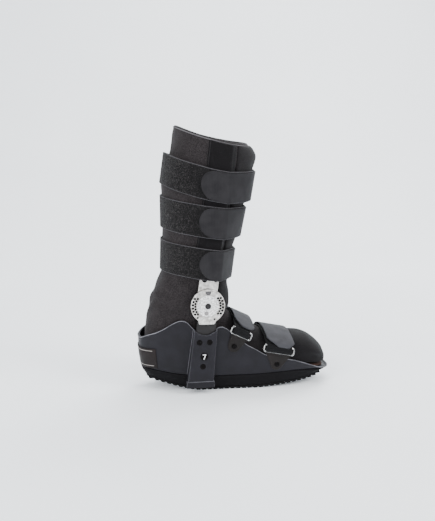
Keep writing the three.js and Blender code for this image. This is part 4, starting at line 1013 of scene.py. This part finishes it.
def make_tab(strap, belt):
    name, tab_end = strap[0], strap[4]
    off = STRAP_GAP + BAND_THICKNESS + STRAP_GAP
    columns = np.arange(Belt.columns)
    middle = belt.points(columns, 0, off)
    end_x = HINGE_X + tab_end * CALF_DEPTH
    outer = [i for i in columns if middle[i][1] < 0]
    tip = min(outer, key=lambda i: abs(middle[i][0] - end_x))
    step = belt.length / Belt.columns
    mirror_of_tip = (Belt.columns - tip) % Belt.columns
    length = ((mirror_of_tip - tip) % Belt.columns) * step
    half = TAB_WIDTH / 2
    ends = half * (1 - np.cos(np.linspace(0.06, pi / 2, 22)))
    distances = np.concatenate([ends, np.linspace(half, length, 190)[1:]])
    rows = []
    for d in distances:
        near = max(0.0, 1 - d / half)
        width = max(0.6, half * (1 - near**2.2) ** 0.5)
        section = rounded_section(width, TAB_THICKNESS, 0.55, across=20, corner=3)
        rows.append(belt.points(tip + d / step, section[:, 0], section[:, 1] + off))
    tab = grid_object(f"hook_tab_{name}", rows)
    finish_piece(tab, [f"leg_tab_{name}"], tab_cloth)


for strap in LEG_STRAPS:
    belt = Belt(strap, under_bands)
    make_band(strap, belt)
    make_tab(strap, belt)


# The foot shell, the sole and the tread


LOOP = 256
LOOP_TURNS = turns_of(LOOP)
RIM_ROUND, RIM_BEAD = 1.2, 0.7


def outline(inset, height_at):
    """A closed outline round the shell, drawn in by an inset. A height is given by place."""
    c, s = np.cos(LOOP_TURNS), np.sin(LOOP_TURNS)
    x = (SHELL_LENGTH / 2 - inset) * np.sign(c) * np.abs(c) ** (2 / 3)
    y = np.sign(s) * half_width_at(x, inset)
    return np.stack([x, y, height_at(x) + 0 * x], 1)


def laddered(name, loops):
    """A closed skin over outlines, with rungs from side to side across both ends."""
    grid = np.array(loops)
    rows, columns = grid.shape[:2]
    faces = grid_faces(rows, columns)
    for row, flip in ((0, True), (rows - 1, False)):
        for j in range(columns // 2):
            a, b = row * columns + j, row * columns + j + 1
            c, d = row * columns + (columns - j - 1), row * columns + (columns - j) % columns
            face = [a, b] + ([c] if c != b else []) + ([d] if d != a else [])
            faces.append(tuple(face[::-1] if flip else face))
    points = grid.reshape(-1, 3)
    return mesh_object(name, points, facing_out(points, faces))


def make_shell():
    under = lambda x: sole_top_at(x) + FIT_GAP
    loops = [outline(SHELL_DRAFT + 1.2, under)]
    for down in np.linspace(1, 0, 22):
        lean = SHELL_DRAFT * down**2
        bead = -RIM_BEAD * float(smoothstep(down, 0.08, 0.0))
        loops.append(outline(lean + bead, lambda x: mix(rim_at(x) - RIM_ROUND, under(x) + 0.6, down)))
    for k in range(1, 10):
        turn = pi * k / 10
        inset = -RIM_BEAD + (SHELL_WALL + RIM_BEAD) / 2 * (1 - cos(turn))
        loops.append(outline(inset, lambda x: rim_at(x) - RIM_ROUND + 1.4 * sin(turn)))
    for down in np.linspace(0, 1, 12):
        lean = SHELL_DRAFT * down**2 + SHELL_WALL
        loops.append(outline(lean, lambda x: mix(rim_at(x) - RIM_ROUND, under(x) + SHELL_WALL, down)))
    return laddered("shell_wall", loops)


def make_midsole():
    levels = [(SHELL_DRAFT + SOLE_DRAFT + 1, 0.0), (SHELL_DRAFT + SOLE_DRAFT, 0.02)]
    for up in np.linspace(0.1, 0.9, 12):
        swell = SHELL_DRAFT - 0.6 + SOLE_DRAFT * (1 - smoothstep(up, -0.1, 0.85))
        levels.append((float(swell), up))
    levels += [(SHELL_DRAFT - 0.4, 0.95), (SHELL_DRAFT + 0.2, 0.985), (SHELL_DRAFT + 1.4, 1.0)]
    base = lambda x: sole_lift_at(x) + TREAD_DEPTH + FIT_GAP
    loops = [outline(inset, lambda x, up=up: mix(base(x), sole_top_at(x), up)) for inset, up in levels]
    return laddered("midsole_block", loops)


def make_tread():
    """A sheet under the sole with rows of bevelled lugs that follow the rocker."""
    inset = SHELL_DRAFT + SOLE_DRAFT
    sheet = laddered(
        "sheet",
        [
            outline(inset + 1.4, lambda x: sole_lift_at(x) + TOOTH_DEPTH),
            outline(inset + 0.4, lambda x: sole_lift_at(x) + TOOTH_DEPTH + 0.3),
            outline(inset - 0.2, lambda x: sole_lift_at(x) + TREAD_DEPTH),
        ],
    )
    pieces = [sheet]
    count = int((SHELL_LENGTH - 2 * SHELL_DRAFT) / 2 / TOOTH_PITCH)
    for i in range(-count, count + 1):
        x = i * TOOTH_PITCH
        half = float(half_width_at(np.array(x), inset + 0.6))
        if half < 12:
            continue
        lanes = np.linspace(-half, half, 6 if half > 40 else 4)
        for a, b in zip(lanes[:-1], lanes[1:]):
            low = a if a == lanes[0] else a + LUG_GAP
            high = b if b == lanes[-1] else b - LUG_GAP
            pieces.append(lug(x, low, high))
    return join("tread_sheet", pieces)


def lug(x, low, high):
    length = TOOTH_PITCH * 0.64
    rows = []
    for inset, down in ((0.0, 0.0), (0.0, 0.75), (0.25, 0.94), (0.7, 1.0)):
        half = length / 2 - inset
        corners = rectangle(x - half, x + half, low + inset, high - inset)
        rows.append([(a, b, float(sole_lift_at(a)) + (TOOTH_DEPTH + 0.6) * (1 - down)) for a, b in corners])
    return grid_object("lug", rows, smooth=False)


finish_piece(make_midsole(), ["midsole"], sole_rubber)
finish_piece(make_tread(), ["outsole_tread"], tread_rubber)


def plate(name, loops, near, far, bevel=0.4, steps=3):
    """A flat plate on the outer side with bevelled edges: an outline in x and z, then its holes."""
    curve = bpy.data.curves.new(name, "CURVE")
    curve.dimensions = "2D"
    curve.fill_mode = "BOTH"
    for loop in loops:
        spline = curve.splines.new("POLY")
        spline.points.add(len(loop) - 1)
        for point, (x, z) in zip(spline.points, loop):
            point.co = (x * MM, z * MM, 0, 1)
        spline.use_cyclic_u = True
    curve.extrude = max(0, (far - near) / 2 - bevel) * MM
    curve.bevel_depth = bevel * MM
    curve.bevel_resolution = steps
    curve.offset = -bevel * MM
    helper = linked(name, curve)
    bpy.context.view_layer.update()
    mesh = bpy.data.meshes.new_from_object(helper.evaluated_get(bpy.context.evaluated_depsgraph_get()))
    bpy.data.objects.remove(helper)
    middle = (near + far) / 2 * MM
    for v in mesh.vertices:
        a, b, c = v.co
        v.co = (a, -(middle + c), b)
    mesh.name = name
    return linked(name, mesh)


def out_of(node):
    """How far out a piece on the outer side reaches, nearest and farthest."""
    low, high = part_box(node)
    return -high.y / MM, -low.y / MM


HOUSING_FROM, HOUSING_TO = (-0.271, -0.236), (-0.139, -0.119)
HOUSING_FOOT = SOLE_HEIGHT * 0.66
HOUSING_OUT = out_of("number_plug_outer")[1] - 0.8
SINK = 0.8
RIVET_RADIUS, SHANK_RADIUS = 4.2, 2
HOUSING_RIVETS = [("front", -0.159, 0.72), ("rear", -0.2105, 0.722), ("low", -0.1935, 0.386)]
PLUG = (-0.1865 * SHELL_LENGTH, 0.525 * RIM_HEIGHT, 6)


def housing_loop(inset):
    left, right = HOUSING_FROM, HOUSING_TO
    loop = [
        (left[0] * SHELL_LENGTH + inset, HOUSING_FOOT + inset),
        (right[0] * SHELL_LENGTH - inset, HOUSING_FOOT + inset),
    ]
    for x in np.linspace(right[1] * SHELL_LENGTH - inset, left[1] * SHELL_LENGTH + inset, 60):
        loop.append((x, float(rim_at(x)) - inset))
    return loop


def make_housing():
    back = plate("back", [housing_loop(0.2)], WAIST_HALF - 12, HOUSING_OUT - SINK, 0.3)
    holes = [circle(x * SHELL_LENGTH, up * RIM_HEIGHT, RIVET_RADIUS - 0.6) for _, x, up in HOUSING_RIVETS]
    holes.append(circle(PLUG[0], PLUG[1], PLUG[2] - 0.6))
    front = plate("front", [housing_loop(0), *holes], HOUSING_OUT - 5, HOUSING_OUT, 0.9, 4)
    foot = plate("foot", [foot_loop()], HOUSING_OUT - 8, HOUSING_OUT + 0.7, 0.8, 4)
    return [back, front, foot]


def foot_loop():
    """The thicker foot of the housing, over the sole."""
    rear, front = HOUSING_FROM[0] * SHELL_LENGTH, HOUSING_TO[0] * SHELL_LENGTH
    return rectangle(rear - 1.5, front + 1.5, HOUSING_FOOT - 6, HOUSING_FOOT + 4)


def make_shell_with_housings():
    parts = [make_shell()]
    for part in make_housing():
        part.data.shade_smooth()
        parts += [mirrored(part, "mirror"), part]
    shell = join("shell_moulding", parts)
    shell.data.shade_smooth()
    split = shell.modifiers.new("edges", "EDGE_SPLIT")
    split.split_angle = radians(32)
    return shell


finish_piece(make_shell_with_housings(), ["foot_shell"], shell_plastic)
# A thin pale strip along the rim's outer edge: a painted highlight where the rim catches the light
bead = edge_thread("shell_rim_highlight_strip", outline(0, lambda x: rim_at(x) - 0.35), 0.3, 0.6, 0.6)
finish_piece(bead, (), rim_highlight_paint)


def make_insole():
    lean = SHELL_DRAFT + SHELL_WALL + 0.5
    floor = lambda x: sole_top_at(x) + 2 * FIT_GAP + SHELL_WALL
    loops = [
        outline(lean + 0.8, floor),
        outline(lean, lambda x: floor(x) + 0.5),
        outline(lean, lambda x: floor(x) + INSOLE_THICKNESS - 0.8),
        outline(lean + 0.3, lambda x: floor(x) + INSOLE_THICKNESS - 0.2),
        outline(lean + 1.0, lambda x: floor(x) + INSOLE_THICKNESS),
    ]
    return laddered("insole_sheet", loops)


insole = finish_piece(make_insole(), ["insole"], insole_foam)


# Foot straps, rings and chapes


TAB_SHIFT, FOOT_TAB_THICKNESS = 4, 1.9
CHAPE_RIVET, CHAPE_TIP = 19, 10
# A chape's outline is drawn in by the first number and raised to the second, from its back to its face
CHAPE_LAYERS = [
    (1, -2), (1, 0.9), (0.985, 1.35), (0.955, 1.6), (0.9, 1.6), (0.87, 1.45), (0.6, 1.45), (0.25, 1.45),
]


def strap_frame(name):
    strap = FOOT_STRAPS[name]
    slope = radians(strap["slope"])
    u = np.array([cos(slope), 0, -sin(slope)])
    v = np.array([sin(slope), 0, cos(slope)])
    bar = np.array([strap["x"] * SHELL_LENGTH, 0, strap["up"] * RIM_HEIGHT])
    out = out_of(f"ring_{name}_outer")[1] - WIRE_RADIUS * 0.95
    lean = radians(RING_LEAN)
    lean_in, rise = RING_HEIGHT * sin(lean), RING_HEIGHT * cos(lean)
    away = liner_skin.reshape(-1, 3) - bar
    up = away @ v
    across = away @ u - STRAP_SLANT * np.maximum(0, up - rise)
    near = (np.abs(across) < strap["tab"] / 2) & (up > rise)
    seats = np.stack([-away[near, 1], up[near]], 1)
    return dict(u=u, v=v, bar=bar, out=out, lean=lean, hook=(out - lean_in, rise), seats=seats, **strap)


class StrapLine:
    """A taut line over the foot, in the plane square to the ring's bar, by distance from its outer end."""

    def __init__(self, points, rounding=40):
        points = np.vstack([points, points * [-1, 1]])
        turns = np.linspace(0, pi, 361)
        ways = ways_at(turns)
        reach = (points @ ways.T).max(0)
        padded = np.concatenate([reach[1:91][::-1], reach, reach[-91:-1][::-1]])
        for _ in range(rounding):
            padded[1:-1] = 0.25 * padded[:-2] + 0.5 * padded[1:-1] + 0.25 * padded[2:]
        reach = padded[90:-90]
        slope = np.gradient(reach, turns)
        slope[0] = slope[-1] = 0
        self.line = reach[:, None] * ways - slope[:, None] * beside(ways)
        self.far = distances_along(self.line)
        self.length = self.far[-1]

    def at(self, distance, off):
        distance = np.asarray(distance, float)
        place, ahead, behind = (places_along(self.line, self.far, distance + d) for d in (0, 1, -1))
        return place + beside(unit(ahead - behind)) * np.asarray(off)[..., None]


def strap_place(f, p, sideways):
    """A place in the strap's plane, moved sideways along the ring's bar and slanted to the heel."""
    p = np.asarray(p, float)
    slant = STRAP_SLANT * np.maximum(0, p[..., 1] - f["hook"][1])
    return (
        f["bar"]
        + f["v"] * p[..., 1:2]
        + f["u"] * (sideways + slant)[..., None]
        - np.array([0, 1, 0]) * p[..., 0:1]
    )


def make_foot_strap(name, f):
    """The base strap: round the ring's bar on each side and over the foot, with its two layers."""
    t = FOOT_STRAP_THICKNESS
    hook = np.array(f["hook"])
    under = StrapLine(np.vstack([f["seats"], [[hook[0] - WIRE_RADIUS - 2 * FIT_GAP - t, hook[1]]]]))
    over = StrapLine(np.vstack([f["seats"], [[hook[0] + WIRE_RADIUS - t, hook[1]]]]), 500)
    width = f["ring"] - 2 * RING_CORNER - 1
    back = [over.at(d, t + 0.8) for d in np.linspace(11, 0, 8)]
    turns = np.linspace(0, -pi, 14)[1:-1]
    radius = WIRE_RADIUS + FIT_GAP
    folded = [hook + radius * np.array([cos(a), sin(a)]) for a in turns]
    crest = [under.at(d, 0.4) for d in np.linspace(0, under.length / 2, 46)]
    half = np.array(back + folded + crest)
    path = np.vstack([half, half[-2::-1] * [-1, 1]])
    out = beside(unit(np.gradient(path, axis=0)))
    section = rounded_section(width / 2, t, 0.7, across=10, corner=3)
    rows = []
    for place, away in zip(path, out):
        rows.append(strap_place(f, place + away * section[:, 1:], section[:, 0]))
    strap = grid_object(f"base_strap_{name}", rows)
    finish_piece(strap, [f"foot_strap_{name}"], webbing)
    return over


def make_foot_tab(name, f, over):
    """A hook tab over the base strap. Its end is cut away towards the heel in one round sweep."""
    half = f["tab"] / 2
    lift = FOOT_STRAP_THICKNESS + 1.6
    start, cut = f["start"], f["cut"]
    length = over.length - 2 * start
    rows = []
    for d in [0, 0.25, 0.7, 1.4, *np.linspace(3, length, 120)]:
        thick = FOOT_TAB_THICKNESS * min(1, 0.3 + 0.5 * sqrt(d))
        section = rounded_section(half, thick, 0.45 * thick / FOOT_TAB_THICKNESS, across=22, corner=3)
        side = section[:, 0] / half
        ends = cut * np.maximum(0, -side) ** 2.5 + 8 * np.maximum(0, side) ** 4
        place = over.at(start + d + ends * max(0, 1 - d / 70), section[:, 1] + lift)
        rows.append(strap_place(f, place, section[:, 0] + TAB_SHIFT))
    tab = grid_object(f"foot_hook_tab_{name}", rows)
    finish_piece(tab, [f"foot_tab_{name}"], foot_tab_cloth)


def make_ring(name, f):
    rise = f["v"] * cos(f["lean"]) + np.array([0, sin(f["lean"]), 0])
    normal = np.cross(f["u"], rise)
    origin = f["bar"] - np.array([0, f["out"], 0])
    rows = []
    for a, b, start in corners_of(f["ring"] / 2, RING_HEIGHT, RING_CORNER):
        for turn in np.radians(start + 90 * np.arange(9) / 8):
            outward = f["u"] * cos(turn) + rise * sin(turn)
            at = origin + f["u"] * a + rise * b + RING_CORNER * outward
            rows.append([at + WIRE_RADIUS * (outward * cos(k) + normal * sin(k)) for k in turns_of(16)])
    return grid_object(f"wire_ring_{name}_outer", rows, wrap_rows=True)


def make_chape(name, f):
    """A rubbery leather plate on the shell, folded round the ring's lower bar, with a sunk border."""
    half = f["ring"] / 2 - RING_CORNER
    face = f["out"] - WIRE_RADIUS * 0.6
    turn = atan2(half - CHAPE_TIP, CHAPE_RIVET)
    arc = np.linspace(pi + turn, 2 * pi - turn, 26)
    shape = [(half, 0.0), (half - 0.2, 1.0), (-half + 0.2, 1.0), (-half, 0.0)]
    shape += [(f["aside"] + CHAPE_TIP * cos(a), -CHAPE_RIVET + CHAPE_TIP * sin(a)) for a in arc]
    u, v, bar = f["u"], f["v"], f["bar"]
    rows = []
    centre = np.array([f["aside"] * 0.6, -CHAPE_RIVET * 0.55])
    dense = []
    for a, b in zip(shape, shape[1:] + shape[:1]):
        steps = max(1, int(dist(a, b) / 1.6))
        dense += [(mix(a[0], b[0], k / steps), mix(a[1], b[1], k / steps)) for k in range(steps)]
    dense = np.array(dense)
    for grow, off in CHAPE_LAYERS:
        ring = []
        for p in centre + (dense - centre) * grow:
            at = bar + u * p[0] + v * p[1]
            wall = float(wall_at(at[0], min(at[2], float(rim_at(at[0]))), 0)) + 0.4
            reach = max(wall, mix(wall, face - 1.6, float(smoothstep(p[1], -14, -1))))
            ring.append(at - np.array([0, reach + off, 0]))
        rows.append(ring)
    body = grid_object("body", rows)
    # The fold holds the bar from below and behind, and the bar's front stays in sight
    fold = []
    turns = np.linspace(radians(-156), radians(60), 16)
    for s in np.linspace(-1, 1, 20):
        at = bar - np.array([0, f["out"], 0]) + u * s * (half - 0.5)
        thick = 1.35 * sqrt(max(0.1, 1 - abs(s) ** 14))
        ways = [np.array([0, cos(k), 0]) + v * sin(k) for k in turns]
        near = [at + (WIRE_RADIUS + 0.1) * way for way in ways]
        far = [at + (WIRE_RADIUS + 0.1 + thick) * way for way in ways]
        fold.append(near + far[::-1])
    return join(f"chape_plate_{name}_outer", [body, grid_object("fold", fold)])


def lathe(name, x, z, profile, sides=40):
    """A round piece on the outer side, about a line along y, from (radius, distance out) pairs."""
    return grid_object(name, turned_grid(x, z, profile, sides))


def turned_grid(x, z, profile, sides):
    return [[(a, -out, b) for a, b in circle(x, z, max(r, 0.01), sides)] for r, out in profile]


def raised(profile, face):
    """A profile given from a face, at its distance out."""
    return [(radius, face + up) for radius, up in profile]


def rivet_profile(near, face, head=RIVET_RADIUS, rise=1.5, dimple=0.35):
    cap = [
        (SHANK_RADIUS, 0), (head - 0.1, 0), (head, 0.25), (head * 0.96, rise * 0.55),
        (head * 0.84, rise * 0.85), (head * 0.6, rise), (head * 0.36, rise),
        (head * 0.3, rise - dimple), (0, rise - dimple),
    ]
    return [(SHANK_RADIUS, near), *raised(cap, face)]


def both_sides(obj, name, node, material):
    """A piece on the outer side and its mirror on the inner side."""
    other = mirrored(obj, f"{name}_inner")
    obj.name = obj.data.name = f"{name}_outer"
    for made, side in ((obj, "outer"), (other, "inner")):
        finish_piece(made, [f"{node}_{side}"] if node else (), material)


for name in FOOT_STRAPS:
    f = strap_frame(name)
    over = make_foot_strap(name, f)
    make_foot_tab(name, f, over)
    both_sides(make_ring(name, f), f"wire_ring_{name}", f"ring_{name}", ring_steel)
    both_sides(make_chape(name, f), f"chape_plate_{name}", f"chape_{name}", chape_leather)
    pin = f["bar"] - f["v"] * CHAPE_RIVET + f["u"] * f["aside"]
    face = float(wall_at(pin[0], pin[2], 0)) + 2.0
    rivet = lathe("rivet", pin[0], pin[2], rivet_profile(face - 3, face))
    both_sides(rivet, f"chape_rivet_{name}", f"rivet_chape_{name}", rivet_black)


# Hinges


DISC_RADIUS, HOLE_SHADE_RADIUS, DIAL_RADIUS = 27.5, 26.4, 17.4
STIRRUP_HALF, STIRRUP_LEAN = 16, 3.2
ARM_HALF, ARM_RISE = 15.5, 58
ARM_RIVET_RISE, ARM_RIVET_ASIDE = 42, 8.8
# Rows of stop holes, above and below the pivot: distance from it and count
STOP_HOLES = [(20.4, 7), (24.2, 6)]
STOP_STEP, STOP_RADIUS = 12.5, 1.95
# Profiles from the cover disc's face: radius and height
DIAL_STUD = [(3.3, 0.3), (3.3, 0.62), (2.9, 0.7), (2.7, 0.55), (0, 0.5)]
PIVOT_RADIUS = 3.2
PIVOT_CAP = [(PIVOT_RADIUS, 0), (4.7, 0), (4.8, 0.8), (4.3, 1.2), (2.2, 1.2), (1.9, 0.7), (0, 0.7)]
STIRRUP_NEAR, STIRRUP_FAR = out_of("stirrup_outer")
ARM_NEAR, ARM_FAR = out_of("hinge_arm_outer")
DISC_NEAR, DISC_FAR = out_of("hinge_disc_outer")


def arc(x, z, radius, start, end, count=48):
    return [(x + radius * cos(t), z + radius * sin(t)) for t in np.linspace(start, end, count)]


def stirrup_loop():
    lean = tan(radians(STIRRUP_LEAN))
    half, foot = STIRRUP_HALF, HOUSING_FOOT + 6
    neck = HINGE_HEIGHT - DISC_RADIUS * 0.55
    at = lambda z: HINGE_X + (z - HINGE_HEIGHT) * lean
    head = DISC_RADIUS * 0.985
    turn = asin(half / head)
    loop = [(at(foot) - half, foot), (at(foot) + half, foot), (at(neck) + half, neck)]
    loop += arc(HINGE_X, HINGE_HEIGHT, head, -pi / 2 + turn, 1.5 * pi - turn)
    return loop + [(at(neck) - half, neck)]


def arm_loop():
    middle, top = HINGE_X + ARM_RISE * tan(radians(BAR_LEAN)), HINGE_HEIGHT + ARM_RISE
    eye = DISC_RADIUS * 0.97
    turn = asin(ARM_HALF / eye)
    loop = arc(HINGE_X, HINGE_HEIGHT, eye, pi / 2 + turn, 2.5 * pi - turn)
    return loop + [(middle + ARM_HALF, top), (middle - ARM_HALF, top)]


def disc_loop():
    """The cover's outline: round, with a squared tab below."""
    loop = arc(HINGE_X, HINGE_HEIGHT, DISC_RADIUS, radians(-63), radians(235), 72)
    low = HINGE_HEIGHT - DISC_RADIUS * 1.07
    return loop + [(HINGE_X + x, low + up) for x, up in ((-14.5, 1.2), (-13, 0), (9.5, 0), (11, 1.2))]


def stop_holes():
    """The cover's holes, each as a loop: two fans of stops and two single ones."""
    holes = []
    for side in (0, 180):
        for reach, count in STOP_HOLES:
            for k in range(count):
                turn = radians(side + (k - (count - 1) / 2) * STOP_STEP)
                x, z = HINGE_X + reach * cos(turn), HINGE_HEIGHT + reach * sin(turn)
                holes.append((x, z, STOP_RADIUS))
    holes += [(HINGE_X - 16.5, HINGE_HEIGHT - 18.2, 1.6), (HINGE_X + 10.5, HINGE_HEIGHT - 21.5, 1.6)]
    return [circle(x, z, radius, 20) for x, z, radius in holes]


def window_loop():
    """The D-shaped window above the pivot."""
    x, z = HINGE_X + 0.7, HINGE_HEIGHT + 21.4
    return [(x - 4.4, z + 2.6), *arc(x, z + 0.6, 4.4, pi, 2 * pi, 20), (x + 4.4, z + 2.6)]


def dial_mark(turn, near, far, half):
    """A thin raised stroke on the dial, from one distance from the pivot to another."""
    c, s = cos(turn), sin(turn)
    section = rectangle(-half, half, DISC_FAR + 0.3, DISC_FAR + 0.52)
    rows = [
        [(HINGE_X + r * c - a * s, -out, HINGE_HEIGHT + r * s + a * c) for a, out in section]
        for r in (near, far)
    ]
    return grid_object("m", rows, smooth=False)


def make_marks():
    strokes = [(side + k * 10, 13.6, 16.2, 0.36) for k in range(-4, 5) for side in (0, 180)]
    strokes += [(60 + 30 * k, 12.6, 15.6, 0.5) for k in range(3)]
    marks = [dial_mark(radians(turn), near, far, half) for turn, near, far, half in strokes]
    stud = lathe("m", HINGE_X - 2.4, HINGE_HEIGHT - 11.4, raised(DIAL_STUD, DISC_FAR), 32)
    return join("marks", [*marks, stud])


def make_hinge():
    stirrup = plate("p", [stirrup_loop()], STIRRUP_NEAR, STIRRUP_FAR, 0.4)
    both_sides(stirrup, "stirrup_bar", "stirrup", black_steel)
    arm = plate("p", [arm_loop()], ARM_NEAR, ARM_FAR, 0.35)
    both_sides(arm, "arm_plate", "hinge_arm", aluminium)
    cover = plate("p", [disc_loop(), window_loop(), *stop_holes()], DISC_NEAR, DISC_FAR, 0.22, 2)
    both_sides(cover, "cover_disc", "hinge_disc", aluminium)
    # Painted shade: a dark sheet under the cover disc, seen through its holes as the shade in them
    profile = rectangle(0, HOLE_SHADE_RADIUS, ARM_FAR - 1, ARM_FAR + 0.7)
    shade_sheet = lathe("p", HINGE_X, HINGE_HEIGHT, profile, 64)
    both_sides(shade_sheet, "hole_shade_sheet", None, hole_shade)
    profile = rectangle(0, 5.6, ARM_FAR + 0.6, DISC_FAR - 0.7)
    pane = lathe("p", HINGE_X + 0.7, HINGE_HEIGHT + 22, profile)
    both_sides(pane, "window_pane", None, window_grey)
    section = rectangle(DIAL_RADIUS - 0.2, DIAL_RADIUS + 0.7, DISC_FAR - 0.3, DISC_FAR + 0.04)
    grid = np.swapaxes(turned_grid(HINGE_X, HINGE_HEIGHT, section, 64), 0, 1)
    groove = grid_object("ring", grid, wrap_rows=True, smooth=False)
    both_sides(groove, "dial_groove", None, mark_grey)
    rim = circle(HINGE_X, HINGE_HEIGHT, DIAL_RADIUS, 64)
    dial = plate("p", [rim], DISC_FAR - 0.5, DISC_FAR + 0.45, 0.3, 3)
    both_sides(dial, "dial", None, dial_metal)
    both_sides(make_marks(), "dial_marks", None, mark_grey)
    profile = [(PIVOT_RADIUS, STIRRUP_NEAR), *raised(PIVOT_CAP, DISC_FAR)]
    both_sides(lathe("p", HINGE_X, HINGE_HEIGHT, profile), "pivot", "hinge_pivot", black_steel)
    x, z = HINGE_X + ARM_RIVET_RISE * tan(radians(BAR_LEAN)), HINGE_HEIGHT + ARM_RIVET_RISE
    for side, name in ((-1, "rear"), (1, "front")):
        pin = lathe("p", x + side * ARM_RIVET_ASIDE, z, rivet_profile(ARM_NEAR, ARM_FAR))
        both_sides(pin, f"arm_rivet_{name}", f"rivet_arm_{name}", rivet_black)


make_hinge()
for name, x, up in HOUSING_RIVETS:
    profile = rivet_profile(HOUSING_OUT - 4, HOUSING_OUT + 0.05, head=4.6, rise=0.8)
    pin = lathe("p", x * SHELL_LENGTH, up * RIM_HEIGHT, profile)
    both_sides(pin, f"housing_rivet_{name}", f"rivet_housing_{name}", rivet_black)


NUMERAL = [(-2.7, 2.6), (-2.7, 4), (2.8, 4), (2.8, 2.8), (0, -4.3), (-1.7, -4.3), (1, 2.6)]


def make_plug():
    """A round plug with a plain numeral, which reads the right way on either side."""
    x, z, r = PLUG
    face = HOUSING_OUT + 0.05
    profile = [
        (r - 2, -3), (r - 1, -3), (r - 1, 0), (r, 0), (r, 0.5),
        (r - 0.4, 0.9), (r - 0.9, 0.9), (r - 1.1, 0.65), (0, 0.65),
    ]
    plug = lathe("p", x, z, raised(profile, face))
    both_sides(plug, "plug", "number_plug", rivet_black)
    marks = []
    for way in (1, -1):
        corners = [(x + way * a, z + b) for a, b in NUMERAL]
        marks.append(plate("plug_numeral_outer", [corners], face + 0.5, face + 0.95, 0.06, 1))
    finish_piece(marks[0], (), plug_mark)
    finish_piece(mirrored(marks[1], "plug_numeral_inner"), (), plug_mark)
    bpy.data.objects.remove(marks[1])


make_plug()


def heel_patch(name, low, high, off, thickness, reach):
    """A curved patch round the heel between two shares of the rim's height."""
    top, foot = float(rim_at(-SHELL_LENGTH / 2)), float(sole_top_at(-SHELL_LENGTH / 2))
    rows = []
    for share in np.linspace(-1, 1, 70):
        loop = []
        for rise, more in ((0, 0), (0.02, 1), (0.2, 1), (0.5, 1), (0.8, 1), (0.98, 1), (1, 0), (0.5, -1)):
            z = RIM_HEIGHT * mix(low, high, rise)
            down = (top - z) / (top - foot)
            inset = SHELL_DRAFT * min(max(down, 0), 1) ** 2 - off - thickness * (0.5 + 0.5 * more)
            length = SHELL_LENGTH - 2 * inset
            x = (-0.5 + reach * share * share) * length
            loop.append((x, -copysign(1, share) * float(half_width_at(np.array(x), inset)), z))
        rows.append(loop)
    return grid_object(name, rows)


patch = heel_patch("heel_patch", 0.315, 0.6, 0.5, 0.9, 0.078)
finish_piece(patch, ["heel_label"], label_patch)
lines = join("heel_patch_lines", [heel_patch("l", a, a + 0.009, 1.3, 0.35, 0.062) for a in (0.35, 0.563)])
finish_piece(lines, (), label_lines)

for side in ("outer", "inner"):
    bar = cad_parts[f"side_bar_{side}"]
    paint(bar, black_steel)
    bevel = bar.modifiers.new("bevel", "BEVEL")
    bevel.width, bevel.segments, bevel.limit_method = 0.4 * MM, 2, "ANGLE"


# Floor, light and camera


# The floor's half-width and the radius of its sweep up into the wall
FLOOR_HALF, SWEEP = 6000, 900
LAMPS = [
    # name, place in metres, height aimed at, power in watts, size
    ("key", (1.8, -1.3, 1.7), 0.2, 50, 1.1),
    ("fill", (-1.7, -1.5, 1.2), 0.2, 54, 1.6),
    ("back", (0.9, 1.3, 1.7), 0.25, 38, 1.2),
    ("top", (-0.2, -0.1, 2.4), 0.1, 24, 1.4),
]
# The camera's place and aim in millimetres, and its focal length and the picture's height in pixels
CAMERA_AT, CAMERA_AIM = (-283.1, -1452.5, 479.4), (-27, 0, 206)
FOCAL, PICTURE_HEIGHT, SENSOR = 914.63, 521, 36


def make_stage():
    s = Shader("floor_paint")
    wide = s.ramp(s.noise(400, 2), 0.3, 0.7)
    s.set(Base_Color=s.blend(wide, (240, 243, 246), (246, 249, 251)), Roughness=0.75)
    s.set(Emission_Color=(0.9, 0.95, 1, 1), Emission_Strength=0.2)
    sweep = [(SWEEP * (1 + sin(t)), SWEEP * (1 - cos(t))) for t in np.linspace(0.1, pi / 2, 24)]
    line = [(-4000, 0), (SWEEP, 0), *sweep, (2 * SWEEP, 5000)]
    points = [(x, y, z) for y, z in line for x in (-FLOOR_HALF, FLOOR_HALF)]
    faces = [(2 * i, 2 * i + 1, 2 * i + 3, 2 * i + 2) for i in range(len(line) - 1)]
    floor = mesh_object("floor", points, faces)
    paint(floor, s.material)


def aimed(obj, place, aim):
    obj.location = Vector(place)
    obj.rotation_euler = (Vector(aim) - Vector(place)).to_track_quat("-Z", "Y").to_euler()


make_stage()
for name, place, height, power, size in LAMPS:
    data = bpy.data.lights.new(name, "AREA")
    data.energy, data.size = power, size
    aimed(linked(name, data), place, (0, 0, height))
world = bpy.data.worlds.new("studio")
world.use_nodes = True
sky = world.node_tree.nodes["Background"].inputs
sky[0].default_value, sky[1].default_value = (0.93, 0.96, 1.0, 1), 0.94
bpy.context.scene.world = world

camera_data = bpy.data.cameras.new("camera")
camera_data.sensor_width = SENSOR
camera_data.lens = FOCAL / PICTURE_HEIGHT * SENSOR
camera = linked("camera", camera_data)
aimed(camera, Vector(CAMERA_AT) * MM, Vector(CAMERA_AIM) * MM)
bpy.context.scene.camera = camera
